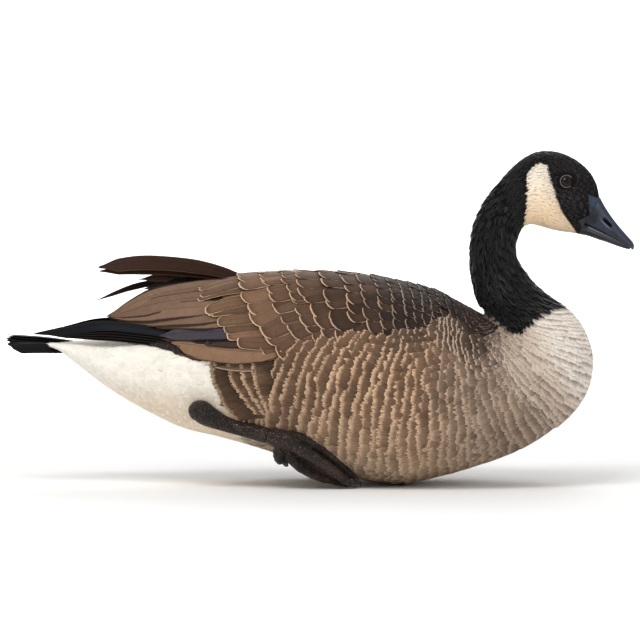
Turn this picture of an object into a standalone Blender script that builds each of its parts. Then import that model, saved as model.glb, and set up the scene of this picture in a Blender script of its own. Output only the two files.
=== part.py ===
"""A life-size Canada goose that rests on its belly, neck arched and both feet tucked along its sides.

The bird faces +X with +Z up, and the floor is z = 0. Its right side is on the -Y side.
Sizes are written in millimetres and turned into metres as each mesh is made.
The flesh is one smooth form: a row of flat sections from the bill base, over the head and down
the neck, round the breast and back to the tail. Every node of the body is a length of that form.
"""

import math

import bmesh
import bpy
import numpy as np

MM = 0.001

# Gap between neighbouring nodes, and the thickness of a feather.
GAP = 0.35
VANE_THICKNESS = 0.9

# Roundness of a section: 2 is an ellipse, and more is squarer.
SQUARENESS = 2.2

# The flesh, from the bill to the tail: back x and z, underside x and z, half width,
# and how far the widest place sits from the middle towards the underside.
BODY = np.array(
    (
        (279.5, 287.0, 257.0, 250.0, 11.5, 0.05),  # 0 bill base
        (276.5, 300.0, 248.0, 251.5, 14.5, 0.04),  # 1 lores
        (269.0, 313.0, 240.0, 252.5, 17.0, 0.02),  # 2 forehead
        (255.0, 325.0, 229.0, 255.0, 19.0, 0.00),  # 3 brow, over the eye
        (236.0, 332.5, 219.0, 258.0, 20.5, 0.00),  # 4 crown
        (217.0, 332.5, 210.0, 259.5, 21.0, 0.02),  # 5 hind crown
        (200.0, 324.0, 203.0, 256.0, 20.5, 0.02),  # 6 nape
        (182.5, 307.0, 198.5, 247.0, 20.0, 0.00),  # 7 top of the neck
        (165.0, 286.5, 196.5, 238.5, 20.5, 0.00),  # 8
        (153.0, 262.0, 196.5, 232.0, 21.5, 0.00),  # 9
        (148.5, 237.0, 197.5, 226.0, 22.5, 0.00),  # 10 middle of the neck
        (149.0, 214.0, 203.0, 216.0, 24.5, 0.00),  # 11
        (152.5, 195.0, 215.0, 201.0, 29.0, 0.00),  # 12
        (157.0, 181.0, 233.0, 186.0, 37.0, 0.00),  # 13 neck base, the black ends
        (160.0, 175.0, 253.0, 172.5, 48.0, 0.00),  # 14
        (161.5, 172.5, 267.5, 151.0, 61.0, 0.00),  # 15
        (161.5, 171.0, 274.0, 123.0, 74.0, 0.00),  # 16 front of the breast
        (160.0, 170.5, 267.0, 90.0, 86.0, 0.00),  # 17
        (157.0, 171.5, 242.0, 60.0, 95.0, 0.00),  # 18
        (150.0, 175.0, 200.0, 33.0, 102.0, 0.01),  # 19
        (136.0, 182.5, 150.0, 15.0, 106.0, 0.02),  # 20
        (113.0, 195.0, 108.0, 4.0, 108.0, 0.03),  # 21 shoulders
        (80.0, 204.5, 72.0, -2.5, 107.0, 0.04),  # 22 lowest part of the belly
        (40.0, 210.5, 32.0, 4.0, 104.0, 0.04),  # 23
        (-5.0, 213.0, -12.0, 17.5, 97.0, 0.04),  # 24
        (-50.0, 212.0, -55.0, 33.0, 87.0, 0.04),  # 25
        (-95.0, 205.0, -98.0, 46.0, 75.0, 0.03),  # 26
        (-138.0, 186.0, -138.0, 56.0, 61.0, 0.02),  # 27
        (-178.0, 163.0, -176.0, 74.0, 48.0, 0.00),  # 28 vent
        (-212.0, 149.5, -210.0, 94.0, 40.0, 0.00),  # 29
        (-240.0, 145.5, -238.0, 115.0, 34.0, 0.00),  # 30
        (-260.0, 144.0, -262.0, 133.0, 28.0, 0.00),  # 31 end of the tail coverts
    )
)

# Where the flesh is parted: name, first and last section, rings and sides of the mesh.
LENGTHS = (
    ("head", 0.0, 6.0, 17, 24),
    ("neck_top", 6.0, 8.6, 7, 22),
    ("neck_middle", 8.6, 11.3, 7, 22),
    ("neck_base", 11.3, 13.4, 6, 24),
    ("torso", 13.4, 29.0, 32, 36),
)
TAIL_ROOT, TAIL_END = 29.0, 31.0

# Bill: top x and z, lower edge x and z, half width.
UPPER_BILL = (
    (279.5, 287.0, 263.5, 260.5, 11.5),
    (285.0, 277.0, 272.0, 256.0, 11.3),
    (292.0, 266.5, 281.0, 252.0, 10.8),
    (299.5, 257.0, 290.0, 247.5, 10.2),
    (307.0, 248.5, 299.0, 243.0, 9.8),
    (312.3, 242.5, 306.0, 239.0, 8.6),
    (314.0, 238.0, 309.5, 236.5, 5.6),
    (313.6, 234.5, 311.8, 233.8, 2.2),
)
LOWER_BILL = (
    (263.0, 259.2, 257.2, 250.2, 10.6),
    (271.2, 254.4, 267.8, 248.0, 10.2),
    (280.2, 250.4, 277.8, 244.5, 9.6),
    (289.2, 245.8, 287.3, 241.5, 8.8),
    (298.2, 241.4, 296.8, 238.0, 7.8),
    (305.4, 237.4, 304.6, 235.4, 6.0),
    (308.4, 235.4, 308.0, 234.4, 3.0),
)
BILL_ROUNDNESS = 2.4
NOSTRIL_PLACE = (286.5, 9.4, 262.0)
NOSTRIL_HALF_SIZES = (6.0, 3.2, 1.9)
NOSTRIL_SLOPE = math.radians(43)

# Eye: where it sits seen from the side, its radius, and how far its middle is under the skin.
EYE_X, EYE_Z = 245.6, 303.0
EYE_RADIUS = 6.8
EYE_DEPTH = 4.3
LID_RADIUS, LID_THICKNESS = 6.5, 1.25

# Wing: the shield of small feathers, by body section and by angle down from the back.
WING_FIRST, WING_LAST = 19.8, 27.2
WING_TOP = ((19.8, 17.0), (23.0, 11.0), (27.2, 13.0))
WING_LOW = ((19.8, 36.0), (22.0, 57.0), (24.0, 72.0), (25.5, 88.0), (27.2, 97.0))
WING_RISE = ((19.8, 2.8), (21.5, 4.6), (24.0, 6.0), (26.0, 5.2), (27.2, 3.2))
WING_EDGE_RISE = 2.6
WING_UNDERSIDE = 1.2

# Covert tiers, front to back: section at the root, length, number of feathers.
COVERT_TIERS = (
    (20.2, 38.0, 2),
    (21.1, 48.0, 3),
    (22.1, 56.0, 4),
    (23.2, 60.0, 4),
    (24.35, 60.0, 5),
)
COVERT_TIP_RISE = 2.3

# Flight feathers of one wing: number, body section and angle of the first and last root,
# first and last tip, half width, sag of the line below a straight one, and the step from each
# feather's layer down to the next. A step below zero puts the first feather lowest.
TERTIALS = (4, (25.7, 24.0), (26.1, 64.0), (-214, 16, 170), (-186, 41, 157), 15.0, -7.0, 1.8)
SECONDARIES = (3, (25.2, 78.0), (25.3, 94.0), (-158, 59, 150), (-142, 68, 131), 13.0, -3.0, 1.5)
PRIMARIES = (4, (26.3, 72.0), (26.2, 60.0), (-286, 8, 149.3), (-214, 28, 155), 9.0, 0.0, -1.7)
# The far wing's loose feathers: root section and angle, tip, half width, arch.
LOOSE_FEATHERS = (
    ((26.0, 15.0), (-218, 10, 224), 9.5, 11.0),
    ((26.2, 20.0), (-219, 20, 214), 8.0, 9.0),
    ((26.4, 27.0), (-221, 32, 187), 4.0, 14.0),
    ((26.3, 23.0), (-193, 24, 203), 7.0, 7.0),
)

# Tail: feathers on each side of the middle, spread, and their lengths.
TAIL_PAIRS = 5
TAIL_STEP_DOWN = 1.5
TAIL_FAN_STEP = 6.2
TAIL_TILT_STEP = math.radians(3.2)
TAIL_ROOT_PLACE = (-238.0, 2.2, 142.0)
TAIL_TIP_X = -312.0
TAIL_TIP_Z = 149.0
TAIL_HALF_WIDTH = 9.4

# Leg and foot of the left side: x, y, z and radius along each. The y of the shank comes
# from the side of the body, which it lies against.
SHANK = (
    (-126.0, 73.0, 7.0),
    (-121.0, 75.0, 10.5),
    (-110.0, 70.0, 10.5),
    (-92.0, 64.0, 8.2),
    (-70.0, 58.5, 7.2),
    (-48.0, 53.0, 8.0),
)
PALM = ((-47.0, 52.8, 8.0), (-38.0, 50.0, 9.4), (-28.0, 48.0, 9.0), (-22.0, 45.0, 6.5))
TOES = {
    "outer": (
        (-34, 79, 54, 6.0),
        (-16, 78, 50, 5.0),
        (-1, 75, 41, 4.3),
        (10, 71, 34, 4.5),
        (24, 62, 20, 3.9),
        (35, 55, 9, 3.0),
    ),
    "middle": (
        (-34, 80, 49, 6.5),
        (-14, 81, 39, 6.4),
        (-1, 78, 31, 5.2),
        (10, 73, 23, 5.4),
        (22, 67, 12, 4.6),
        (31, 61, 4.2, 3.4),
    ),
    "inner": (
        (-34, 77, 46, 6.0),
        (-23, 70, 33, 5.0),
        (-9, 64, 24, 4.4),
        (4, 58, 17, 4.4),
        (16, 52, 9.5, 4.0),
        (25, 48, 3.6, 3.2),
    ),
    "hind": ((-38, 76, 47, 5.0), (-39, 72, 39, 4.6), (-37, 69, 32, 4.2), (-35, 67, 27.5, 3.0)),
}
CLAWS = {
    "outer": ((35, 55, 9), (39.5, 53, 5), (40.5, 52, 0.7)),
    "middle": ((31, 61, 4.2), (35.5, 59, 2.6), (37.5, 58, 0.7)),
    "inner": ((25, 48, 3.6), (29.5, 46.5, 2.4), (31.5, 46, 0.7)),
    "hind": ((-35, 67, 27.5), (-33.5, 66, 24.5), (-31.5, 65, 22.5)),
}
WEB_THICKNESS = 1.3
WEB_SAG = 4.0

COLOURS = {
    "black_feather": (0.012, 0.012, 0.014, 0.75),
    "brown_feather": (0.16, 0.105, 0.07, 0.8),
    "buff_feather": (0.33, 0.25, 0.18, 0.85),
    "white_feather": (0.74, 0.68, 0.58, 0.85),
    "dark_flight_feather": (0.022, 0.018, 0.02, 0.55),
    "bill_horn": (0.035, 0.042, 0.055, 0.4),
    "leg_skin": (0.05, 0.036, 0.027, 0.6),
    "claw_horn": (0.02, 0.016, 0.014, 0.4),
    "eye": (0.015, 0.009, 0.006, 0.1),
}


def clear_scene():
    for obj in list(bpy.data.objects):
        bpy.data.objects.remove(obj, do_unlink=True)


def material(name):
    """The named material, made at its first use."""
    found = bpy.data.materials.get(name)
    if found:
        return found
    made = bpy.data.materials.new(name)
    made.use_nodes = True
    shader = made.node_tree.nodes["Principled BSDF"]
    red, green, blue, roughness = COLOURS[name]
    shader.inputs["Base Color"].default_value = (red, green, blue, 1)
    shader.inputs["Roughness"].default_value = roughness
    shader.inputs["Metallic"].default_value = 0
    return made


def unit(vectors):
    vectors = np.asarray(vectors, float)
    return vectors / np.linalg.norm(vectors, axis=-1, keepdims=True)


def spline(table, place):
    """Rows of the table read at fractional row numbers, along a smooth curve through them."""
    table = np.asarray(table, float)
    place = np.clip(np.asarray(place, float), 0, len(table) - 1)
    row = np.minimum(place.astype(int), len(table) - 2)
    f = (place - row)[..., None]
    padded = np.vstack((2 * table[0] - table[1], table, 2 * table[-1] - table[-2]))
    a, b, c, d = (padded[row + k] for k in range(4))
    return 0.5 * (2 * b + (c - a) * f + (2 * a - 5 * b + 4 * c - d) * f**2 + (3 * b - a - 3 * c + d) * f**3)


def rounded_section(back, under, half_width, shift, angle, squareness):
    """Points of a flat section: angle 0 is the back, pi the underside, and pi/2 the left side."""
    sine, cosine = np.sin(angle), np.cos(angle)
    power = 2 / squareness
    along = 0.5 - 0.5 * np.sign(cosine) * np.abs(cosine) ** power + shift * sine**2
    side = half_width * np.sign(sine) * np.abs(sine) ** power
    place = back + (under - back) * along[..., None]
    return np.stack((place[..., 0], side, place[..., 1]), axis=-1)


def body_point(section, angle, lift=0.0):
    """A point of the flesh, moved out from the skin by lift."""
    section, angle = np.broadcast_arrays(np.asarray(section, float), np.asarray(angle, float))

    def at(s, a):
        row = spline(BODY, s)
        return rounded_section(row[..., 0:2], row[..., 2:4], row[..., 4], row[..., 5], a, SQUARENESS)

    point = at(section, angle)
    if np.all(np.asarray(lift) == 0):
        return point
    step = 0.01
    last = len(BODY) - 1
    along = at(np.minimum(section + step, last), angle) - at(np.maximum(section - step, 0), angle)
    around = at(section, angle + step) - at(section, angle - step)
    out = unit(np.cross(around, along))
    return point + out * np.asarray(lift, float)[..., None]


def section_normal(section):
    """Unit normal of a section's plane, towards the tail."""
    row = spline(BODY, section)
    across = unit((row[0] - row[2], 0, row[1] - row[3]))
    return np.cross(across, (0, 1, 0))


def new_object(name, points, faces, material_name):
    """A mesh object from points in millimetres."""
    mesh = bpy.data.meshes.new(name)
    mesh.from_pydata([tuple(p) for p in np.asarray(points, float) * MM], [], faces)
    mesh.materials.append(material(material_name))
    obj = bpy.data.objects.new(name, mesh)
    bpy.context.scene.collection.objects.link(obj)
    shade(obj)
    return obj


def shade(obj):
    """Faces out, and smooth apart from sharp edges."""
    work = bmesh.new()
    work.from_mesh(obj.data)
    bmesh.ops.recalc_face_normals(work, faces=work.faces)
    work.to_mesh(obj.data)
    work.free()
    obj.data.shade_smooth()
    obj.data.set_sharp_from_angle(angle=math.radians(40))


def loft(name, rings, material_name):
    """A closed body through rings of equal numbers of points."""
    rings = np.asarray(rings, float)
    count, sides = rings.shape[:2]
    faces = [
        (i * sides + j, i * sides + (j + 1) % sides, (i + 1) * sides + (j + 1) % sides, (i + 1) * sides + j)
        for i in range(count - 1)
        for j in range(sides)
    ]
    faces.append(tuple(range(sides))[::-1])
    faces.append(tuple((count - 1) * sides + j for j in range(sides)))
    return new_object(name, rings.reshape(-1, 3), faces, material_name)


def flesh(name, first, last, rings, sides, material_name, lift=0.0):
    """A length of the body. Its cut ends are pulled back by half the gap."""
    angles = np.linspace(0, 2 * math.pi, sides, endpoint=False)
    stations = np.linspace(first, last, rings)
    grid = body_point(stations[:, None], angles[None, :], np.full((rings, sides), lift))
    if first > 0:
        grid[0] += section_normal(first) * GAP / 2
    if last < len(BODY) - 1:
        grid[-1] -= section_normal(last) * GAP / 2
    return loft(name, grid, material_name)


def vane(name, line, across, outward, half_widths, material_name, thickness=VANE_THICKNESS, dip=0.06):
    """A feather: a thin closed blade along a line, its edges dipped, with its shaft as the ridge."""
    line, across, outward = (np.asarray(x, float) for x in (line, across, outward))
    half_widths = np.asarray(half_widths, float)[:, None]
    edge_drop = outward * half_widths * dip
    top = np.stack((line - across * half_widths - edge_drop, line, line + across * half_widths - edge_drop), 1)
    points = np.concatenate((top.reshape(-1, 3), (top - outward[:, None, :] * thickness).reshape(-1, 3)))
    count = len(line)
    under = count * 3
    faces = []
    for i in range(count - 1):
        for j in range(2):
            a, b, c, d = i * 3 + j, i * 3 + j + 1, i * 3 + j + 4, i * 3 + j + 3
            corners = ((a, b, c), (a, c, d)) if j else ((a, b, d), (b, c, d))
            for face in corners:
                faces.append(face)
                faces.append(tuple(v + under for v in face[::-1]))
        for j in (0, 2):
            a, b = i * 3 + j, i * 3 + j + 3
            faces += [(a, b, b + under), (a, b + under, a + under)]
    for i in (0, count - 1):
        for j in range(2):
            a, b = i * 3 + j, i * 3 + j + 1
            faces += [(a, b, b + under), (a, b + under, a + under)]
    return new_object(name, points, faces, material_name)


def tube(name, path, radii, material_name, sides=10, samples=None):
    """A round limb along a path. With samples, the path is first made smooth."""
    path, radii = np.asarray(path, float), np.asarray(radii, float)
    if samples:
        both = spline(np.column_stack((path, radii)), np.linspace(0, len(path) - 1, samples))
        path, radii = both[:, :3], both[:, 3]
    ahead = unit(np.gradient(path, axis=0))
    ahead[0] = unit(path[1] - path[0])
    side = unit(np.cross(ahead, (0.0, 1.0, 0.0)))
    up = np.cross(side, ahead)
    angles = np.linspace(0, 2 * math.pi, sides, endpoint=False)
    rings = path[:, None, :] + radii[:, None, None] * (
        np.cos(angles)[None, :, None] * side[:, None, :] + np.sin(angles)[None, :, None] * up[:, None, :]
    )
    return loft(name, rings, material_name)


def mirrored(obj):
    """Turns a left-side object into its right-side twin."""
    for vertex in obj.data.vertices:
        vertex.co.y = -vertex.co.y
    shade(obj)
    return obj


def combine(target, others, operation, solver="EXACT"):
    """One Boolean of target with the others, applied. The others are removed."""
    group = bpy.data.collections.new("operands")
    for obj in others:
        for home in list(obj.users_collection):
            home.objects.unlink(obj)
        group.objects.link(obj)
    modifier = target.modifiers.new("combine", "BOOLEAN")
    modifier.operation = operation
    modifier.operand_type = "COLLECTION"
    modifier.collection = group
    modifier.solver = solver
    graph = bpy.context.evaluated_depsgraph_get()
    made = bpy.data.meshes.new_from_object(target.evaluated_get(graph))
    target.modifiers.clear()
    target.data = made
    made.name = target.name
    for obj in others:
        bpy.data.objects.remove(obj, do_unlink=True)
    bpy.data.collections.remove(group)
    keep_largest(target)
    return target


def keep_largest(obj):
    """Leaves only the closed surface that holds the most."""
    work = bmesh.new()
    work.from_mesh(obj.data)
    bmesh.ops.triangulate(work, faces=work.faces)
    left = set(work.faces)
    bodies = []
    while left:
        stack = [left.pop()]
        body = set(stack)
        while stack:
            for edge in stack.pop().edges:
                if len(edge.link_faces) != 2:
                    continue
                for face in edge.link_faces:
                    if face in left:
                        left.discard(face)
                        body.add(face)
                        stack.append(face)
        volume = sum(
            f.verts[0].co.dot(f.verts[1].co.cross(f.verts[2].co)) for f in body
        )
        bodies.append((volume, body))
    largest = max(bodies, key=lambda pair: pair[0])[1]
    drop = [f for f in work.faces if f not in largest]
    bmesh.ops.delete(work, geom=drop, context="FACES")
    loose = [v for v in work.verts if not v.link_faces]
    bmesh.ops.delete(work, geom=loose, context="VERTS")
    work.to_mesh(obj.data)
    work.free()
    obj.data.shade_smooth()
    obj.data.set_sharp_from_angle(angle=math.radians(40))


def floor_block():
    """Everything under the floor, as a cutter."""
    bpy.ops.mesh.primitive_cube_add(size=1, location=(0, 0, -0.5))
    return bpy.context.object


def body_cutter():
    """The torso and tail coverts grown by the gap, to cut what lies against them."""
    angles = np.linspace(0, 2 * math.pi, 36, endpoint=False)
    stations = np.concatenate((np.linspace(13.4, 29.0, 32), np.linspace(29.35, TAIL_END, 6)))
    grid = body_point(stations[:, None], angles[None, :], np.full((len(stations), 36), GAP))
    grid[-1] += section_normal(TAIL_END) * GAP
    return loft("body_cutter", grid, "black_feather")


def ball(name, centre, half_sizes, segments, rings, material_name, slope=0.0):
    """An ellipsoid, tipped nose-down by slope in the XZ plane."""
    mesh = bpy.data.meshes.new(name)
    work = bmesh.new()
    bmesh.ops.create_uvsphere(work, u_segments=segments, v_segments=rings, radius=1)
    for vertex in work.verts:
        x, y, z = (v * h for v, h in zip(vertex.co, half_sizes))
        vertex.co = (
            (centre[0] + x * math.cos(slope) + z * math.sin(slope)) * MM,
            (centre[1] + y) * MM,
            (centre[2] - x * math.sin(slope) + z * math.cos(slope)) * MM,
        )
    work.to_mesh(mesh)
    work.free()
    mesh.materials.append(material(material_name))
    obj = bpy.data.objects.new(name, mesh)
    bpy.context.scene.collection.objects.link(obj)
    shade(obj)
    return obj


def nearest_on_body(x, z, first=14.0, last=31.0):
    """Left-side point of the skin that shows at x and z from the side, and its outward normal."""
    sections = np.linspace(first, last, 400)[:, None]
    angles = np.linspace(0.02, math.pi - 0.02, 240)[None, :]
    grid = body_point(sections, angles)
    gap = np.hypot(grid[..., 0] - x, grid[..., 2] - z)
    row, column = np.unravel_index(gap.argmin(), gap.shape)
    point = grid[row, column]
    lifted = body_point(sections[row, 0], angles[0, column], 1.0)
    return point, lifted - point


def ring_of_lid(centre, outward, sides=16, round_sides=5):
    """The rim of the eyelids, a ring round the eye."""
    across = unit(np.cross(outward, (0.0, 0.0, 1.0)))
    up = np.cross(across, outward)
    turns = np.linspace(0, 2 * math.pi, sides, endpoint=False)
    rolls = np.linspace(0, 2 * math.pi, round_sides, endpoint=False)
    points, faces = [], []
    for turn in turns:
        radial = across * math.cos(turn) * 1.08 + up * math.sin(turn) * 0.92
        for roll in rolls:
            reach = LID_RADIUS + LID_THICKNESS * math.cos(roll)
            points.append(centre + radial * reach + outward * LID_THICKNESS * math.sin(roll))
    for i in range(sides):
        for j in range(round_sides):
            k, m = (i + 1) % sides, (j + 1) % round_sides
            faces.append(
                (i * round_sides + j, k * round_sides + j, k * round_sides + m, i * round_sides + m)
            )
    return new_object("lid", points, faces, "black_feather")


def make_eyes():
    """The eyes, and what their sockets and lids need: cutters and rims."""
    skin, outward = nearest_on_body(EYE_X, EYE_Z, 1.0, 6.0)
    centre = skin - outward * EYE_DEPTH
    rim = centre + outward * (EYE_DEPTH - 0.2)
    sockets, lids = [], []
    for side, y_sign in (("left", 1), ("right", -1)):
        flip = np.array((1.0, y_sign, 1.0))
        ball("eye_" + side, centre * flip, (EYE_RADIUS,) * 3, 14, 9, "eye")
        size = (EYE_RADIUS + GAP + 0.1,) * 3
        sockets.append(ball("socket", centre * flip, size, 14, 10, "black_feather"))
        lid = ring_of_lid(rim, outward)
        lids.append(mirrored(lid) if y_sign < 0 else lid)
    return sockets, lids


def make_flesh():
    """Head, three lengths of neck, and torso."""
    made = {}
    for name, first, last, rings, sides in LENGTHS:
        look = "brown_feather" if name == "torso" else "black_feather"
        made[name] = flesh(name, first, last, rings, sides, look)
    sockets, lids = make_eyes()
    combine(made["head"], lids, "UNION")
    combine(made["head"], sockets, "DIFFERENCE")
    combine(made["torso"], [floor_block()], "DIFFERENCE")
    return made


def bill_half(name, table, shift, sides):
    """Upper or lower bill, lofted from its profile and started a gap away from the face."""
    rings = []
    angles = np.linspace(0, 2 * math.pi, sides, endpoint=False)
    for top_x, top_z, low_x, low_z, half_width in table:
        back, under = np.array((top_x, top_z)), np.array((low_x, low_z))
        rings.append(rounded_section(back, under, half_width, shift, angles, BILL_ROUNDNESS))
    rings = np.array(rings)
    rings[0] -= section_normal(0) * GAP
    return loft(name, rings, "bill_horn")


def make_bill():
    upper = bill_half("bill_upper", UPPER_BILL, 0.24, 20)
    bill_half("bill_lower", LOWER_BILL, -0.2, 16)
    x, y, z = NOSTRIL_PLACE
    cutters = [
        ball("nostril", (x, y * side, z), NOSTRIL_HALF_SIZES, 12, 8, "bill_horn", NOSTRIL_SLOPE)
        for side in (1, -1)
    ]
    combine(upper, cutters, "DIFFERENCE")


def read(table, section):
    places, values = zip(*table)
    return np.interp(section, places, values)


def wing_angle(section, down):
    """Angle round the body at a share of the way down the wing."""
    top, low = read(WING_TOP, section), read(WING_LOW, section)
    return np.radians(top + (low - top) * down)


def wing_rise(section, down):
    """Height of the wing's surface over the skin."""
    full = read(WING_RISE, section)
    hump = np.clip(4 * down * (1 - down), 0, 1) ** 0.6
    return WING_EDGE_RISE + (full - WING_EDGE_RISE) * hump


def wing_shield(name):
    """The folded wing's body: a shallow domed shell that lies on the side of the torso."""
    rows, columns = 11, 6
    sections = np.linspace(WING_FIRST, WING_LAST, rows)[:, None]
    down = np.linspace(0, 1, columns)[None, :]
    angles = wing_angle(sections, down)
    outer = body_point(sections, angles, wing_rise(sections, down))
    inner = body_point(sections, angles, np.full((rows, columns), WING_UNDERSIDE))
    rings = np.concatenate((outer, inner[:, ::-1]), axis=1)
    return loft(name, rings, "brown_feather")


def covert(section, down, length, half_width):
    """A small wing feather. Its root is in the shield and its tip stands over the next tier."""
    steps = np.array((0.0, 0.45, 0.82, 1.0))
    widths = half_width * np.array((0.75, 1.0, 0.9, 0.5))
    rises = np.array((-1.4, 0.5, 1.8, COVERT_TIP_RISE))
    start = body_point(section, wing_angle(section, down))
    ahead = body_point(section + 0.2, wing_angle(section + 0.2, down))
    per_section = np.linalg.norm(ahead - start) / 0.2
    sections = section + steps * length / per_section
    angles = wing_angle(sections, down)
    line = body_point(sections, angles, wing_rise(sections, down) + rises)
    skin = body_point(sections, angles)
    outward = unit(body_point(sections, angles, np.ones(len(steps))) - skin)
    forward = unit(np.gradient(line, axis=0))
    across = unit(np.cross(outward, forward))
    return vane("covert", line, across, outward, widths, "brown_feather")


def covert_tiers():
    """Rows of small feathers over the shield, each row half a feather out of step with the last."""
    made = []
    for row, (section, length, count) in enumerate(COVERT_TIERS):
        offset = 0.25 if row % 2 else 0.0
        places = (np.arange(count) + 0.5 + offset) / (count + 0.5)
        edge_to_edge = np.linalg.norm(
            body_point(section, wing_angle(section, 0.0)) - body_point(section, wing_angle(section, 1.0))
        )
        half_width = 0.5 * edge_to_edge / count
        for down in places:
            if down < 0.97:
                made.append(covert(section, down, length, half_width))
    return made


def flight_feather(name, root, outward_root, tip, half_width, arch, layer, look, steps=5):
    """A long feather from a root point to a tip, arched up or down between them."""
    share = np.linspace(0, 1, steps)[:, None]
    root, tip = np.asarray(root, float), np.asarray(tip, float)
    outward_tip = unit((0.0, 0.35, 0.94))
    outward = unit(np.asarray(outward_root) * (1 - share) + outward_tip * share)
    line = root + (tip - root) * share + np.array((0, 0, 1.0)) * arch * 4 * share * (1 - share)
    line = line + outward * layer
    forward = unit(np.gradient(line, axis=0))
    across = unit(np.cross(outward, forward))
    shape = np.interp(share[:, 0], (0, 0.25, 0.6, 0.85, 1), (0.55, 0.9, 1.0, 0.78, 0.16))
    return vane(name, line, across, outward, half_width * shape, look)


def feather_row(group, look):
    """Flight feathers that fan from the first root and tip to the last, each a layer lower."""
    count, first_root, last_root, first_tip, last_tip, half_width, arch, step = group
    made = []
    for k in range(count):
        share = k / (count - 1)
        section = first_root[0] + (last_root[0] - first_root[0]) * share
        angle = math.radians(first_root[1] + (last_root[1] - first_root[1]) * share)
        skin = body_point(section, angle)
        outward = body_point(section, angle, 1.0) - skin
        tip = np.array(first_tip) + (np.array(last_tip) - np.array(first_tip)) * share
        layer = (count - 1 - k) * step if step > 0 else -k * step
        made.append(
            flight_feather("flight", skin + outward * 1.2, outward, tip, half_width, -arch, layer, look)
        )
    return made


def wing(side):
    """One folded wing of brown feathers, with its tiers of coverts, tertials and secondaries."""
    shield = wing_shield("wing_" + side)
    feathers = covert_tiers() + feather_row(TERTIALS, "brown_feather")
    feathers += feather_row(SECONDARIES, "brown_feather") + feather_row(PRIMARIES, "dark_flight_feather")
    if side == "left":
        for (section, angle), tip, half_width, arch in LOOSE_FEATHERS:
            skin = body_point(section, math.radians(angle))
            outward = body_point(section, math.radians(angle), 1.0) - skin
            feathers.append(
                flight_feather("loose", skin + outward * 3, outward, tip, half_width, arch, 0, "brown_feather")
            )
    combine(shield, feathers, "UNION")
    combine(shield, [body_cutter()], "DIFFERENCE")
    return mirrored(shield) if side == "right" else shield


def make_tail():
    """Tail coverts with the fan of black tail feathers rooted in them."""
    core = flesh("tail", TAIL_ROOT, TAIL_END, 8, 24, "black_feather")
    feathers = []
    drop = 0.0
    for pair in range(TAIL_PAIRS):
        tilt = TAIL_TILT_STEP * (pair + 0.3)
        spread = TAIL_FAN_STEP * (pair + 0.45)
        root = np.array((TAIL_ROOT_PLACE[0], TAIL_ROOT_PLACE[1] * (pair + 0.5), TAIL_ROOT_PLACE[2] - 0.9 * drop))
        tip = np.array((TAIL_TIP_X + 0.5 * pair**2, spread, TAIL_TIP_Z - drop))
        for side in (1, -1):
            flip = np.array((1.0, side, 1.0))
            lower = np.array((0, 0, 0.6)) if side > 0 else np.zeros(3)
            share = np.linspace(0, 1, 4)[:, None] ** 0.8
            line = (root + (tip - root) * share) * flip - lower
            outward = np.tile((0.0, side * math.sin(tilt), math.cos(tilt)), (4, 1))
            across = unit(np.cross(outward, unit(np.gradient(line, axis=0))))
            shape = np.array((0.5, 0.95, 1.0, 0.4))
            feathers.append(
                vane("tail_feather", line, across, outward, TAIL_HALF_WIDTH * shape, "black_feather", dip=0.03)
            )
        drop += TAIL_FAN_STEP * math.tan(tilt) + TAIL_STEP_DOWN
    combine(core, feathers, "UNION")


def against_body(table, sink=0.72):
    """Path and radii of a limb that lies against the side of the body."""
    path, radii = [], []
    for x, z, radius in table:
        skin, outward = nearest_on_body(x, z)
        path.append((x, skin[1] + radius * sink, z))
        radii.append(radius)
    return np.array(path), np.array(radii)


def web(first, second, name):
    """The skin between two toes, sagging between them."""
    share = np.linspace(0, 3.6, 6)
    a, b = spline(np.array(first)[:, :3], share), spline(np.array(second)[:, :3], share)
    middle = (a + b) / 2 - np.array((0, 0.3, 0.95)) * WEB_SAG
    rows = np.stack((a, middle, b), axis=1)
    along = unit(np.gradient(middle, axis=0))
    normal = unit(np.cross(along, unit(b - a)))
    upper = rows + normal[:, None, :] * WEB_THICKNESS / 2
    lower = rows - normal[:, None, :] * WEB_THICKNESS / 2
    rings = np.concatenate((upper, lower[:, ::-1]), axis=1)
    return loft(name, rings, "leg_skin")


def leg(side):
    """Shank, webbed foot and four claws of one side."""
    shank_path, shank_radii = against_body(SHANK)
    palm_path, palm_radii = against_body(PALM, 1.0)
    palm_path[0] = shank_path[-1] + unit(palm_path[1] - shank_path[-1]) * GAP
    palm_radii[0] = shank_radii[-1]
    shank = tube("shank_" + side, shank_path, shank_radii, "leg_skin", sides=10, samples=11)
    foot = tube("foot_" + side, palm_path, palm_radii, "leg_skin", sides=10, samples=6)
    pieces = []
    for toe in TOES.values():
        points = np.array(toe, float)
        pieces.append(tube("toe", points[:, :3], points[:, 3], "leg_skin", sides=7, samples=6))
    pieces.append(web(TOES["outer"], TOES["middle"], "web"))
    pieces.append(web(TOES["middle"], TOES["inner"], "web"))
    combine(foot, pieces, "UNION")
    combine(foot, [shank_cutter(shank_path, shank_radii), body_cutter(), floor_block()], "DIFFERENCE")
    combine(shank, [body_cutter()], "DIFFERENCE")
    parts = [shank, foot]
    for toe, path in CLAWS.items():
        path = np.array(path, float)
        radius = TOES[toe][-1][3]
        end = np.array(TOES[toe][-1][:3], float)
        before = np.array(TOES[toe][-2][:3], float)
        ahead = unit(end - before)
        path = np.array((end + ahead * GAP, end + ahead * 1.6, path[1], path[2]))
        radii = radius * np.array((0.86, 0.84, 0.6, 0.16))
        parts.append(tube(f"claw_{toe}_{side}", path, radii, "claw_horn", sides=7))
    if side == "right":
        for part in parts:
            mirrored(part)


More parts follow.
